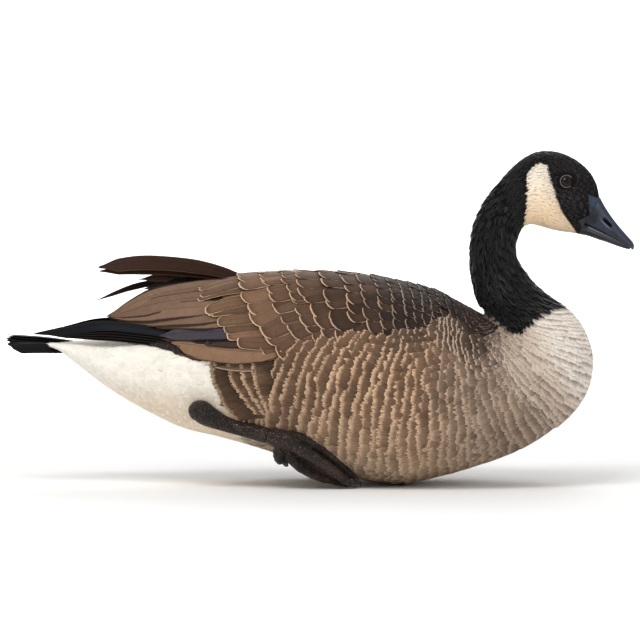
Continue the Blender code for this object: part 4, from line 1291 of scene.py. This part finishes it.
# Places held on the wing as x, z and lift, free places as x, y and z, half width and tone.
TERTIALS = (
    (((-74, 203, -2.0), (-108, 199, -0.6)), ((-165, -27, 190), (-214, -11, 167.5)), 10.5, 1.02),
    (((-74, 194, -2.2), (-110, 190, -0.9)), ((-161, -36, 183), (-213, -14, 166.8)), 10.5, 0.90),
    (((-72, 185, -2.4), (-108, 181, -1.2)), ((-156, -42, 176.5), (-209, -18, 166)), 10.5, 1.05),
    (((-70, 176, -2.6), (-104, 172, -1.5)), ((-150, -46, 169.5), (-203, -22, 164.8)), 9.5, 0.93),
    (((-70, 168, -2.8), (-98, 165, -1.8)), ((-142, -49, 164.5), (-190, -28, 162.8)), 7.5, 1.08),
)
# The same, with the colours of the feather and of its edge.
SECONDARIES = (
    (((-62, 158, -1.5), (-92, 157, 0.2)), ((-122, -62, 156), (-160, -52, 151.0)),
     8.0, SLATE, PRIMARY_RIM),
    # The second is a painted shadow: a narrow near-black blade along the top of the large brown one, whose
    # dark edge is painted shadow too.
    (((-46, 147, -1.6), (-84, 147, -0.4)), ((-122, -62, 148.5), (-158, -52, 148.0)),
     6.0, (0.050, 0.031, 0.022), PRIMARY_RIM),
    (((-42, 137, -1.4), (-86, 138, 0.2)), ((-122, -65, 142.5), (-148, -57, 145.0)),
     12.5, BROWN, (0.050, 0.031, 0.021)),
    (((-52, 122, -2.6), (-88, 126, -1.0)), ((-128, -60, 136), (-163, -45, 145.0)),
     7.5, (0.155, 0.10, 0.07), (0.50, 0.37, 0.26)),
)
LOOSE_RIM = (0.11, 0.06, 0.038)
LOOSE_DARK = (0.010, 0.006, 0.004)
# Feathers of the far wing: path, half width, colours, and how pointed they are.
LOOSE = (
    (((-76, 28, 205), (-120, 22, 217.5), (-178, 14, 222.5), (-222, 8, 216.5)),
     8.4, (0.033, 0.0145, 0.008), LOOSE_RIM, 0.0),
    (((-78, 32, 202), (-120, 27, 211.5), (-175, 20, 215.5), (-221, 13, 212.5)),
     6.5, (0.05, 0.026, 0.016), LOOSE_RIM, 0.3),
    (((-84, 36, 199), (-115, 33, 204), (-150, 28, 207), (-183, 23, 203.5)),
     6.0, (0.065, 0.036, 0.022), LOOSE_RIM, 1.0),
    (((-88, 38, 199), (-135, 35, 203), (-182, 31, 198), (-226, 27, 182.0)),
     3.6, LOOSE_DARK, LOOSE_RIM, 1.0),
    (((-86, 30, 199), (-120, 28, 202), (-150, 24, 200), (-178, 20, 194)),
     8.0, LOOSE_DARK, PRIMARY_RIM, 1.0),
)
LOOSE_FACING = (0.0, -0.86, 0.5)
BLADE_COLUMNS = 9
BLADE_THICKNESS = 0.45


def on_wing(x, z, lift):
    """A place on the folded right wing, seen from the side at x and z."""
    sections, angles = patch((19.0, 28.5, 260), (0.05, 2.2, 200))
    grid = surface(sections, angles, form_rise(sections, angles) + lift)
    return grid[nearest(grid, x, z)] * (1, -1, 1)


def wing_path(held, free):
    """A path from places held on the wing to free places behind it."""
    return [on_wing(*place) for place in held] + [np.array(place, float) for place in free]


def blade(path, half_width, base, rim, facing, rows=26, lead=0.42, pointed=1.0, coat_rim=0.7, cup=0.05,
          bent=0.8):
    """A flight feather along a smooth path: a closed cambered blade with its shaft off the middle."""
    facing, path = np.asarray(facing, float), np.asarray(path, float)
    v, u = np.linspace(0, 1, rows)[:, None], np.linspace(-1, 1, BLADE_COLUMNS)[None, :]
    reach = lengths_along(path)
    line = spline(path, np.interp(v[:, 0], reach / reach[-1], np.arange(len(path))))
    for _ in range(3):
        line[1:-1] = (line[:-2] + 2 * line[1:-1] + line[2:]) / 4
    ahead = unit(np.gradient(line, axis=0))
    out = unit(facing - ahead * (ahead @ facing)[:, None])
    sideways = unit(np.cross(out, ahead))
    widths = (0.35, 0.7, 0.95, 1.0, 0.88 - 0.3 * pointed, 0.30 - 0.2 * pointed)
    width = half_width * np.interp(v, (0, 0.12, 0.35, 0.7, 0.88, 1), widths)
    # The leading half of the blade is narrower than the trailing half.
    across = np.where(u < 0, u * (2 * lead), u * (2 - 2 * lead)) * width
    bend = np.abs(u) ** 2.2 * half_width * bent * v**8
    points = line[:, None, :] + sideways[:, None, :] * across[..., None] - ahead[:, None, :] * bend[..., None]
    points = points - out[:, None, :] * (cup * np.abs(across) ** 1.3)[..., None]
    under = points - out[:, None, :] * (BLADE_THICKNESS * (1 - 0.55 * np.abs(u)))[..., None]
    edge = np.minimum((1 - np.abs(u)) * width, (1 - v) * reach[-1] + 0 * across)
    edge = (edge + RNG.uniform(-0.08, 0.08, edge.shape)) / coat_rim
    count = rows * BLADE_COLUMNS

    def both(values):
        return np.tile(np.broadcast_to(values, edge.shape).ravel(), 2)

    marks = {
        "tint": np.tile(np.asarray(base, float), (2 * count, 1)),
        "rim": np.tile(np.asarray(rim, float), (2 * count, 1)),
        "edge": both(edge),
        "along": both(v * reach[-1]),
        "across": both(across),
        "share": both(0.25 + 0.75 * v),
        "seed": np.full(2 * count, RNG.uniform(0, 1)),
    }
    middle = path.mean(0)
    place = np.array((0.45 - middle[0] / 700.0, 0.5 + math.atan2(middle[1], middle[2] - 90.0) / 7.0))
    own_patch = np.stack(np.broadcast_arrays(u * 0.5, v), -1).reshape(-1, 2)
    top = grid_faces(rows, BLADE_COLUMNS)
    return {
        "points": np.concatenate((points.reshape(-1, 3), under.reshape(-1, 3))),
        "faces": [top, top[:, ::-1] + count, sheet_walls(rows, BLADE_COLUMNS)],
        "marks": marks,
        "bake": np.tile(place + own_patch * BAKE_PATCH, (2, 1)),
    }


def flight_feathers(material, side):
    """Tertials, secondaries and primaries of one folded wing, laid out for the right side."""
    made = []
    for k in range(5):
        path = (
            on_wing(-92, 150 - 2 * k, -6.0),
            (-147, -50 + 1.2 * k, 154.5 - 2.4 * k),
            (-214, -38 + 1.2 * k, 161.2 - 2.6 * k),
            (-258, -22 + 0.8 * k, 153.8 - 0.9 * k),
            (-287 + 3.5 * k, -9, 150.4 - 0.2 * k),
        )
        colour = blend((0.004, 0.0052, 0.0085), (0.0105, 0.0062, 0.005), min(1.0, k / 2.5))
        facing = (0, -0.8, 0.6)
        made.append(blade(path, 5.8, colour, PRIMARY_RIM, facing, rows=34, lead=0.45, coat_rim=0.35))
    for held, free, half, tone in TERTIALS[::-1]:
        colour, facing = tuple(c * tone for c in TERTIAL), (0, -0.76, 0.65)
        made.append(blade(wing_path(held, free), half, colour, TERTIAL_SHADOW_RIM, facing, coat_rim=1.3))
    for held, free, half, colour, rim in SECONDARIES:
        facing = (0, -0.93, 0.36)
        made.append(blade(wing_path(held, free), half, colour, rim, facing, cup=0.03, pointed=0.6))
    if side == "left":
        made = [mirrored(batch) for batch in made]
        # The far wing has feathers that stand up loose over the rump, as the photo shows.
        for path, half, colour, rim, pointed in LOOSE:
            made.append(blade(path, half, colour, rim, LOOSE_FACING, pointed=pointed))
    return fix_normals(joined("flight_feathers_" + side, material, *made))


def tail_feathers(material):
    """Black tail feathers in a closed fan that slopes down like a roof, the middle pair on top."""
    made = []
    for k in range(8):
        for side in (1, -1):
            spread = 3.4 * (k + 0.4) * side
            drop = 1.75 * k + (0.4 if side > 0 else 0)
            root = (-238, 2.2 * (k + 0.4) * side, 142.0 - 0.5 * drop)
            waver = 1.8 * math.sin(2.3 * k + side)
            tip = (-313.0 + 0.12 * k * k + waver, spread, 149.8 - drop)
            middle = (-276, spread * 0.8, 147.2 - 0.8 * drop)
            tilt = math.radians(6.0 * (k + 0.3)) * side
            facing = (0.0, math.sin(tilt), math.cos(tilt))
            colour, rim = (0.003, 0.003, 0.0035), (0.009, 0.0085, 0.009)
            made.append(blade((root, middle, tip), 7.2, colour, rim, facing, rows=20, pointed=-0.6,
                              lead=0.5, cup=0.02, bent=0.35))
    return fix_normals(joined("tail_feathers", material, *made))


# Eyes.
def eye_frame(side):
    flip = np.array((1.0, 1.0 if side == "left" else -1.0, 1.0))
    skin, outward = nearest_on_body(EYE_X, EYE_Z, 1.0, 6.0)
    outward = unit(outward + np.array((0.10, 0.0, 0.0)))
    centre = (skin - outward * EYE_DEPTH) * flip
    outward = outward * flip
    across = unit(np.cross((0.0, 0.0, 1.0), outward))
    up = np.cross(outward, across)
    return centre, outward, across, up


def make_eye(side, material):
    """Eyeball with a slightly bulging clear front, its rings measured from the middle of the pupil."""
    centre, outward, across, up = eye_frame(side)
    rows, columns = 36, 48
    theta = np.linspace(0, np.pi, rows)[:, None]
    phi = np.linspace(0, 2 * np.pi, columns, endpoint=False)[None, :]
    radius = EYE_RADIUS * (1 + 0.05 * np.exp(-((theta / 0.5) ** 2)))
    points = centre + (
        outward * (radius * np.cos(theta) + 0 * phi)[..., None]
        + across * (radius * np.sin(theta) * np.cos(phi))[..., None]
        + up * (radius * np.sin(theta) * np.sin(phi))[..., None]
    )
    ring = np.broadcast_to(np.sin(np.minimum(theta, np.pi / 2)) / 0.9, (rows, columns))
    spoke = np.broadcast_to(np.sin(phi * 3), (rows, columns))
    marks = {"ring": ring.ravel(), "spoke": spoke.ravel()}
    obj = make_mesh("eyeball_" + side, points, [grid_faces(rows, columns, True)], material, marks)
    fix_normals(obj, lambda work: bmesh.ops.remove_doubles(work, verts=work.verts, dist=1e-6))
    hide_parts("eye_" + side)
    return obj


def make_lids(side, material):
    """The rim of the lids: a fine rounded ring, a little oval, that follows the ball."""
    centre, outward, across, up = eye_frame(side)
    rows, columns = 96, 12
    turns = np.linspace(0, 2 * np.pi, rows, endpoint=False)[:, None]
    rolls = np.linspace(0, 2 * np.pi, columns, endpoint=False)[None, :]
    thick = 0.46 + 0.05 * np.sin(turns * 23) + 0.04 * np.sin(turns * 41)
    radial = across * np.cos(turns)[..., None] * 6.35 + up * np.sin(turns)[..., None] * 6.0
    away = unit(radial)
    height = np.sqrt(np.maximum((EYE_RADIUS + 0.05) ** 2 - (radial**2).sum(-1), 0.3))
    forward = smooth(0.1, 0.9, away[..., 0])
    base = centre + radial + outward * (height + 0.65 * forward)[..., None]
    points = base + away * (thick * np.cos(rolls))[..., None] * 1.15
    points = points + outward * (thick * np.sin(rolls))[..., None]
    j = np.arange(columns)
    last, beside = (rows - 1) * columns, (j + 1) % columns
    seam = np.stack((last + j, last + beside, beside, j), -1)
    faces = [grid_faces(rows, columns, True), seam]
    return fix_normals(make_mesh("eyelids_" + side, points, faces, material))


# Bill: top x and z, lower x and z, and half width.
UPPER_BILL = (
    (279.5, 287.0, 263.5, 260.5, 11.5),
    (285.0, 277.0, 272.0, 256.0, 11.3),
    (292.0, 266.5, 281.0, 252.0, 10.8),
    (299.5, 257.0, 290.0, 247.5, 10.2),
    (307.0, 248.5, 299.0, 243.0, 9.8),
    (312.3, 242.5, 306.0, 239.0, 8.6),
    (314.0, 238.0, 309.5, 236.5, 5.6),
    (313.6, 234.5, 311.8, 233.8, 2.2),
)
LOWER_BILL = (
    (263.0, 261.2, 257.2, 250.2, 9.8),
    (271.6, 257.0, 267.8, 248.0, 9.4),
    (280.8, 252.6, 277.8, 244.5, 8.8),
    (290.0, 248.2, 287.3, 241.5, 8.0),
    (299.4, 244.2, 296.8, 238.0, 7.0),
    (307.2, 240.2, 305.0, 235.4, 5.2),
    (310.4, 237.2, 309.2, 234.6, 2.6),
)
NOSTRIL = (286.5, 262.0)
NOSTRIL_SLOPE = math.radians(-45)
PLATES = 190


def bill_rings(table, shift, rows, columns):
    """Rings of points along a half of the bill."""
    row = spline(table, np.linspace(0, len(table) - 1, rows))[:, None]
    angles = np.broadcast_to(np.linspace(0, 2 * np.pi, columns, endpoint=False), (rows, columns))
    return rounded_section(row[..., 0:2], row[..., 2:4], row[..., 4], shift, angles, BILL_SQUARENESS)


def bell(value, middle, width, power=2):
    """1 where a value is at the middle, and nearly 0 beyond the width."""
    return np.exp(-(((value - middle) / width) ** power))


def moved_out(points, rise, distance):
    """Points of the bill moved out sideways by a distance, and a little upwards by the rise."""
    y = points[..., 1]
    out = unit(np.stack((0 * y, y, rise * np.abs(y)), -1))
    return points + out * distance[..., None]


def make_bill(material):
    """Upper and lower bill, with nostrils sunk in a long groove, a nail and fine ridges at the mouth."""
    rows, columns = 130, 128
    points = bill_rings(UPPER_BILL, 0.24, rows, columns)
    x, y, z = points[..., 0] - NOSTRIL[0], points[..., 1], points[..., 2] - NOSTRIL[1]
    along = x * math.cos(NOSTRIL_SLOPE) + z * math.sin(NOSTRIL_SLOPE)
    apart = -x * math.sin(NOSTRIL_SLOPE) + z * math.cos(NOSTRIL_SLOPE)
    on_side = smooth(2.5, 5.0, np.abs(y))
    hole = bell(along, 0, 5.2, 4) * bell(apart, 0, 1.45, 4) * on_side
    basin = bell(along, 0, 9.5) * bell(apart, 0, 4.0) * on_side
    ridge = bell(along, 0, 6.5, 4) * bell(apart, -2.6, 0.9) * on_side
    angle = np.linspace(0, 2 * np.pi, columns, endpoint=False)[None, :]
    width, upward, downward = np.abs(np.sin(angle)), np.cos(angle) > 0, np.cos(angle) < 0
    share = np.linspace(0, 1, rows)[:, None]
    nail = smooth(0.83, 0.87, share) * bell(y, 0, 5.5, 4)
    mouth_line_shade = bell(width, 0.90, 0.07) * downward * (1 - smooth(0.80, 0.9, share))
    points = moved_out(points, 0.35, -(5.0 * hole + 0.75 * basin - 0.4 * ridge))
    points[..., 2] += 0.45 * nail
    # Painted shade: the nostril hole and the mouth line along the lower edge are painted near black.
    pit = np.clip(1.3 * hole + 0.9 * mouth_line_shade, 0, 1)
    marks = {"wear": np.clip(0.5 * ridge + 0.12 * nail, 0, 1).ravel(), "pit": pit.ravel()}
    faces = capped_faces(rows, columns)
    upper = fix_normals(make_mesh("upper_bill", points, faces, material, marks))
    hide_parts("bill_upper")
    # Lower bill: a row of fine plates shows as two pale lines at the mouth.
    points = bill_rings(LOWER_BILL, -0.2, rows, columns)
    lines = bell(width, 0.94, 0.06) * upward + 0.4 * bell(width, 0.97, 0.035) * downward
    shown = lines * smooth(0.06, 0.14, share) * (1 - smooth(0.72, 0.88, share))
    plates = np.sin(share * PLATES)
    points = moved_out(points, 0.4, 0.3 * shown * (0.5 + 0.5 * plates))
    wear = np.clip(shown * (0.85 + 0.15 * plates), 0, 1)
    # The lower bill is made darker away from its pale lines.
    marks = {"wear": wear.ravel(), "pit": (0.7 * (1 - shown)).ravel()}
    lower = fix_normals(make_mesh("lower_bill", points, faces, material, marks))
    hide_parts("bill_lower")
    return [upper, lower, make_bill_shield(material)]


def make_bill_shield(material):
    """The horn that runs back over the face to its edge with the feathers."""
    rows, columns = 90, 360
    ss, tt = (grid[:, :-1] for grid in patch((0.0, 2.2, rows), (-np.pi, np.pi, columns + 1)))
    inside = inside_outline(surface(ss, tt), BILL_EDGE)
    points = surface(ss, tt, -0.5 + 0.95 * smooth(-0.8, 1.6, inside))
    marks = {"wear": np.zeros(ss.size), "pit": np.zeros(ss.size)}
    shield = make_mesh("bill_shield", points, [grid_faces(rows, columns, True)], material, marks)
    outside = (inside <= -0.8).ravel()

    def cut(work):
        bmesh.ops.delete(work, geom=[v for v in work.verts if outside[v.index]], context="VERTS")

    fix_normals(shield, cut)
    solid = shield.modifiers.new("wall", "SOLIDIFY")
    solid.thickness = 0.9 * MM
    solid.offset = -1
    return shield


# Leg and foot of the left side, as in the solids. Shank and palm lie against the body and have x, z
# and radius. Toes have x, y, z and radius, and claws x, y and z.
SHANK = (
    (-125.0, 75.0, 8.0), (-118.5, 77.0, 11.2), (-109.0, 71.5, 10.4),
    (-93.0, 64.0, 7.6), (-71.0, 58.0, 7.4), (-48.0, 52.8, 8.6),
)
PALM = ((-47.0, 52.8, 8.0), (-38.0, 50.0, 9.4), (-28.0, 48.0, 9.0), (-22.0, 45.0, 6.5))
TOES = {
    "outer": ((-34, 79, 55, 6.2), (-16, 79, 51, 5.2), (-1, 76, 43, 4.2),
              (10, 72, 35.5, 4.4), (24, 63, 21, 3.7), (35, 55, 9, 2.8)),
    "middle": ((-34, 81, 48, 6.6), (-14, 83, 38, 6.0), (-1, 80, 29, 5.0),
               (10, 75, 21, 5.0), (22, 68.5, 11, 4.2), (31, 61, 4.2, 3.2)),
    "inner": ((-34, 77, 46, 6.0), (-27, 72, 30, 5.6), (-14, 67, 19, 5.2),
              (0, 60, 12, 5.0), (14, 53, 7.5, 4.2), (25, 48, 3.6, 3.2)),
    "hind": ((-38, 77, 46, 5.6), (-41, 74.5, 38, 5.4), (-40, 71, 31, 5.2), (-37, 68, 27.5, 4.4)),
}
CLAWS = {
    "outer": ((35, 55, 9), (39.5, 53, 5), (40.5, 52, 0.9)),
    "middle": ((31, 61, 4.2), (35.5, 59, 2.6), (37.5, 58, 0.9)),
    "inner": ((25, 48, 3.6), (29.5, 46.5, 2.4), (31.5, 46, 0.9)),
    "hind": ((-35, 67, 27.5), (-33.5, 66, 24.5), (-31.5, 65, 22.5)),
}


def tube(path, radii, sides, samples, joints=0.0, knots=0):
    """A limb along a smooth path, its ends rounded over, swollen a little at its joints."""
    table = np.column_stack((np.asarray(path, float), np.asarray(radii, float)))
    share = np.linspace(0, 1, samples)
    row = spline(table, share * (len(table) - 1))
    line, radius = row[:, :3], row[:, 3].copy()
    if knots:
        radius *= 1 + joints * np.cos(share * knots * 2 * np.pi) ** 8
    ends = np.minimum(share, 1 - share) * samples
    radius *= np.sqrt(np.clip(1 - (1 - np.clip(ends / 5.0, 0, 1)) ** 2, 0.02, 1))
    ahead = unit(np.gradient(line, axis=0))
    across = unit(np.cross(ahead, (0.0, 1.0, 0.0)))
    up = np.cross(across, ahead)
    angles = np.linspace(0, 2 * np.pi, sides, endpoint=False)[None, :, None]
    ring = np.cos(angles) * across[:, None] + np.sin(angles) * up[:, None]
    points = line[:, None] + radius[:, None, None] * ring
    return points.reshape(-1, 3), capped_faces(samples, sides)


def web_sheet(first, second, sag):
    """The web between two toes, as a thin closed sheet with a scalloped front, sunk between them."""
    rows, columns = 40, 15
    share, mid = np.linspace(0, 1, rows)[:, None], np.linspace(0, 1, columns)[None, :]
    a, b = (spline(np.array(toe, float)[:, :3], share[:, 0] * 4.3)[:, None] for toe in (first, second))
    points = a * (1 - mid)[..., None] + b * mid[..., None]
    hang = 4 * mid * (1 - mid)
    pleats = 0.7 * np.sin(mid * 9 * np.pi) * share
    drop = sag * hang * np.minimum(1, share * 3) + pleats
    points = points - drop[..., None] * np.array((0, 0.95, 0.3))
    points = points + (-3.2 * hang * share**6)[..., None] * unit(a[-1] - a[-4])
    normal = unit(np.cross(np.gradient(points, axis=0), np.gradient(points, axis=1)))
    both = np.concatenate(((points + normal * 0.6).reshape(-1, 3), (points - normal * 0.6).reshape(-1, 3)))
    top = grid_faces(rows, columns)
    return both, [top, top[:, ::-1] + rows * columns, sheet_walls(rows, columns)]


def against_body(table, sink):
    """The path and the radii of a limb that lies against the body, sunk in by a share of its radius."""
    x, z, radii = np.array(table).T
    skin = np.array([nearest_on_body(*one, 14.0, 31.0)[0] for one in zip(x, z)])
    return np.stack((x, skin[:, 1] + radii * sink, z), 1), radii


def merge_limb(name, parts, material, side):
    """Joins overlapping limbs into one skin by a fine remesh, then smooths it a little."""
    obj = fix_normals(make_mesh(name, *gathered(parts), material))
    remesh = obj.modifiers.new("one_skin", "REMESH")
    remesh.mode = "VOXEL"
    remesh.voxel_size = 0.85 * MM
    relax = obj.modifiers.new("relax", "SMOOTH")
    relax.factor = 0.5
    relax.iterations = 4
    graph = bpy.context.evaluated_depsgraph_get()
    mesh = bpy.data.meshes.new_from_object(obj.evaluated_get(graph))
    obj.modifiers.clear()
    obj.data = mesh
    mesh.name = name
    emboss_scales(mesh)
    for vertex in mesh.vertices:
        vertex.co.z = max(vertex.co.z, 0.0)
        if side == "right":
            vertex.co.y = -vertex.co.y
    mesh.shade_smooth()
    return fix_normals(obj)


def emboss_scales(mesh):
    """Raises rows of low plates along the leg and toes."""
    co, no = np.empty((2, len(mesh.vertices) * 3), np.float32)
    mesh.vertices.foreach_get("co", co)
    mesh.vertices.foreach_get("normal", no)
    co, no = co.reshape(-1, 3), no.reshape(-1, 3)
    p = co / MM
    down_leg = p[:, 0] * 0.9 - p[:, 2] * 0.44
    plates = np.abs(np.sin(down_leg * np.pi / 3.1 + 0.25 * np.sin(p[:, 1]))) ** 0.6
    top = smooth(0.1, 0.6, no[:, 2] + 0.3 * no[:, 1])
    co += no * ((plates - 0.75) * 0.28 * top * MM)[:, None]
    mesh.vertices.foreach_set("co", co.ravel())
    mesh.update()


def make_leg(side, leg_look, claw_look):
    """Shank, webbed foot and claws of one side."""
    shank_path, shank_radii = against_body(SHANK, 0.72)
    palm_path, palm_radii = against_body(PALM, 1.0)
    shank = merge_limb("leg_" + side, [tube(shank_path, shank_radii, 40, 90)], leg_look, side)
    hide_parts("shank_" + side)
    palm_path[0] = shank_path[-1] + unit(palm_path[1] - shank_path[-1]) * -3.0
    palm_radii[0] = shank_radii[-1]
    toes = {name: np.array(toe, float) for name, toe in TOES.items()}
    parts = [tube(palm_path, palm_radii, 36, 50)]
    parts += [tube(toe[:, :3], toe[:, 3], 28, 70, 0.10, 3) for toe in toes.values()]
    parts.append(web_sheet(toes["outer"], toes["middle"], 4.0))
    parts.append(web_sheet(toes["middle"], toes["inner"], 4.0))
    foot = merge_limb("webbed_foot_" + side, parts, leg_look, side)
    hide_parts("foot_" + side)
    pieces = [shank, foot]
    for name, path in CLAWS.items():
        path, toe = np.array(path, float), toes[name]
        ahead = unit(path[0] - toe[-2, :3])
        path = np.array((path[0] - ahead * 2.0, path[0] + ahead * 1.4, path[1], path[2]))
        points, faces = tube(path, toe[-1, 3] * np.array((0.8, 0.84, 0.6, 0.2)), 20, 30)
        points[:, 2] = np.maximum(points[:, 2], 0.0)
        if side == "right":
            points[:, 1] *= -1
        claw = fix_normals(make_mesh(f"claw_{name}_of_{side}_foot", points, faces, claw_look))
        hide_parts(f"claw_{name}_{side}")
        pieces.append(claw)
    return pieces


# Studio.
def make_studio():
    """Pale floor that sweeps up behind, soft light all round and a large soft key from above."""
    profile = [(-9.0, 0.0), (5.0, 0.0)]
    profile += [(5.0 + 3.0 * math.sin(a), 3.0 - 3.0 * math.cos(a)) for a in np.linspace(0.1, math.pi / 2, 12)]
    profile += [(8.0, 9.0)]
    points = [(x * 1000, y * 1000, z * 1000) for y, z in profile for x in (-12.0, 12.0)]
    graph = Graph("pale_floor", Roughness=0.9, Specular_IOR_Level=0.1)
    dust = graph.noise(graph.place(), 3.0, 2.0)
    graph.drive("Base Color", graph.mix(dust, (0.88, 0.88, 0.88), (0.91, 0.91, 0.91)))
    floor = make_mesh("floor", points, [grid_faces(len(profile), 2)], graph.material)
    floor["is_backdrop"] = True
    world = bpy.data.worlds.new("studio")
    world.use_nodes = True
    bpy.context.scene.world = world
    background = world.node_tree.nodes["Background"]
    background.inputs["Color"].default_value = (1.0, 1.0, 1.0, 1)
    background.inputs["Strength"].default_value = 0.55
    for name, place, target, size, power, tint in (
        ("key", (-1.0, -1.9, 2.8), (0.0, 0.0, 0.15), 1.5, 62.0, (1.0, 0.975, 0.94)),
        ("front", (2.2, -1.6, 1.4), (0.0, 0.0, 0.15), 1.2, 14.0, (0.96, 0.98, 1.0)),
        ("back", (0.4, 2.2, 2.4), (0.0, 0.0, 0.15), 1.4, 20.0, (1.0, 1.0, 1.0)),
        ("backdrop", (0.0, 2.5, 3.5), (0.0, 7.0, 1.5), 3.0, 420.0, (1.0, 1.0, 1.0)),
    ):
        light = bpy.data.lights.new(name, "AREA")
        light.size = size
        light.energy = power
        light.color = tint
        hang(name, light, place, target)


def hang(name, data, place, target):
    """A lamp or camera in the scene, at a place and turned to its target."""
    obj = bpy.data.objects.new(name, data)
    bpy.context.scene.collection.objects.link(obj)
    obj.location = place
    obj.rotation_euler = (Vector(target) - obj.location).to_track_quat("-Z", "Y").to_euler()
    return obj


def make_camera():
    """The photo's view: from the bird's right side, a little above it, with a long lens."""
    distance, elevation, height = 5.0, math.radians(3.0), 0.164
    camera = bpy.data.cameras.new("camera")
    camera.sensor_width = 36.0
    camera.lens = 36.0 * distance / 0.640
    place = (0.0, -distance * math.cos(elevation), height + distance * math.sin(elevation))
    bpy.context.scene.camera = hang("camera", camera, place, (0.0, 0.0, height))


def corners(bounds):
    return [[float(v) for v in corner] for corner in bounds]


def main():
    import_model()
    solid_box = corners(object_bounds())
    bpy.context.scene.view_settings.view_transform = "Standard"
    down = plumage("soft_white_plumage", 0.9, 0.16, 0.04, 0.0, rim_soft=0.6, specular=0.06)
    flank = fringed("flank_plumage", 1.0, 0.8)
    breast = fringed("breast_plumage", 1.3, 0.4)
    scalloped = plumage("scalloped_plumage", 0.62, 0.6, 0.3, 0.30, rim_soft=0.5, specular=0.12, band=0.3)
    black = plumage("head_plumage", 0.45, 1.0, 0.3, 0.0, rim_soft=0.7, specular=0.18)
    pale = plumage("cheek_plumage", 0.85, 0.12, 0.05, 0.0, rim_soft=0.6, specular=0.05)
    quills = plumage("flight_plumage", 0.5, 0.85, 0.1, 0.5, rim_soft=0.5, specular=0.10)
    horn, legs, claws = horn_material(), leg_material(), claw_material()
    eye_look, lid_look = eye_material(), lid_material()
    skin = make_skin(skin_material())
    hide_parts("head", "neck_top", "neck_middle", "neck_base", "torso")
    pieces = [skin] + head_tufts(black, pale) + neck_tufts(black)
    pieces += breast_feathers(breast) + flank_feathers(flank) + rear_flank_feathers(flank)
    pieces += belly_feathers(breast) + vent_feathers(down) + covert_feathers(scalloped)
    pieces += rump_feathers(scalloped) + shoulder_feathers(breast)
    for side in ("left", "right"):
        wing = flight_feathers(quills, side)
        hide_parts("wing_" + side)
        pieces += [wing, make_eye(side, eye_look), make_lids(side, lid_look)]
        pieces += make_leg(side, legs, claws)
    tail = tail_feathers(quills)
    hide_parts("tail")
    pieces.append(tail)
    pieces += make_bill(horn)
    for piece in pieces:
        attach(piece, "root")
    make_studio()
    make_camera()
    dressed_box = corners(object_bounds())


main()
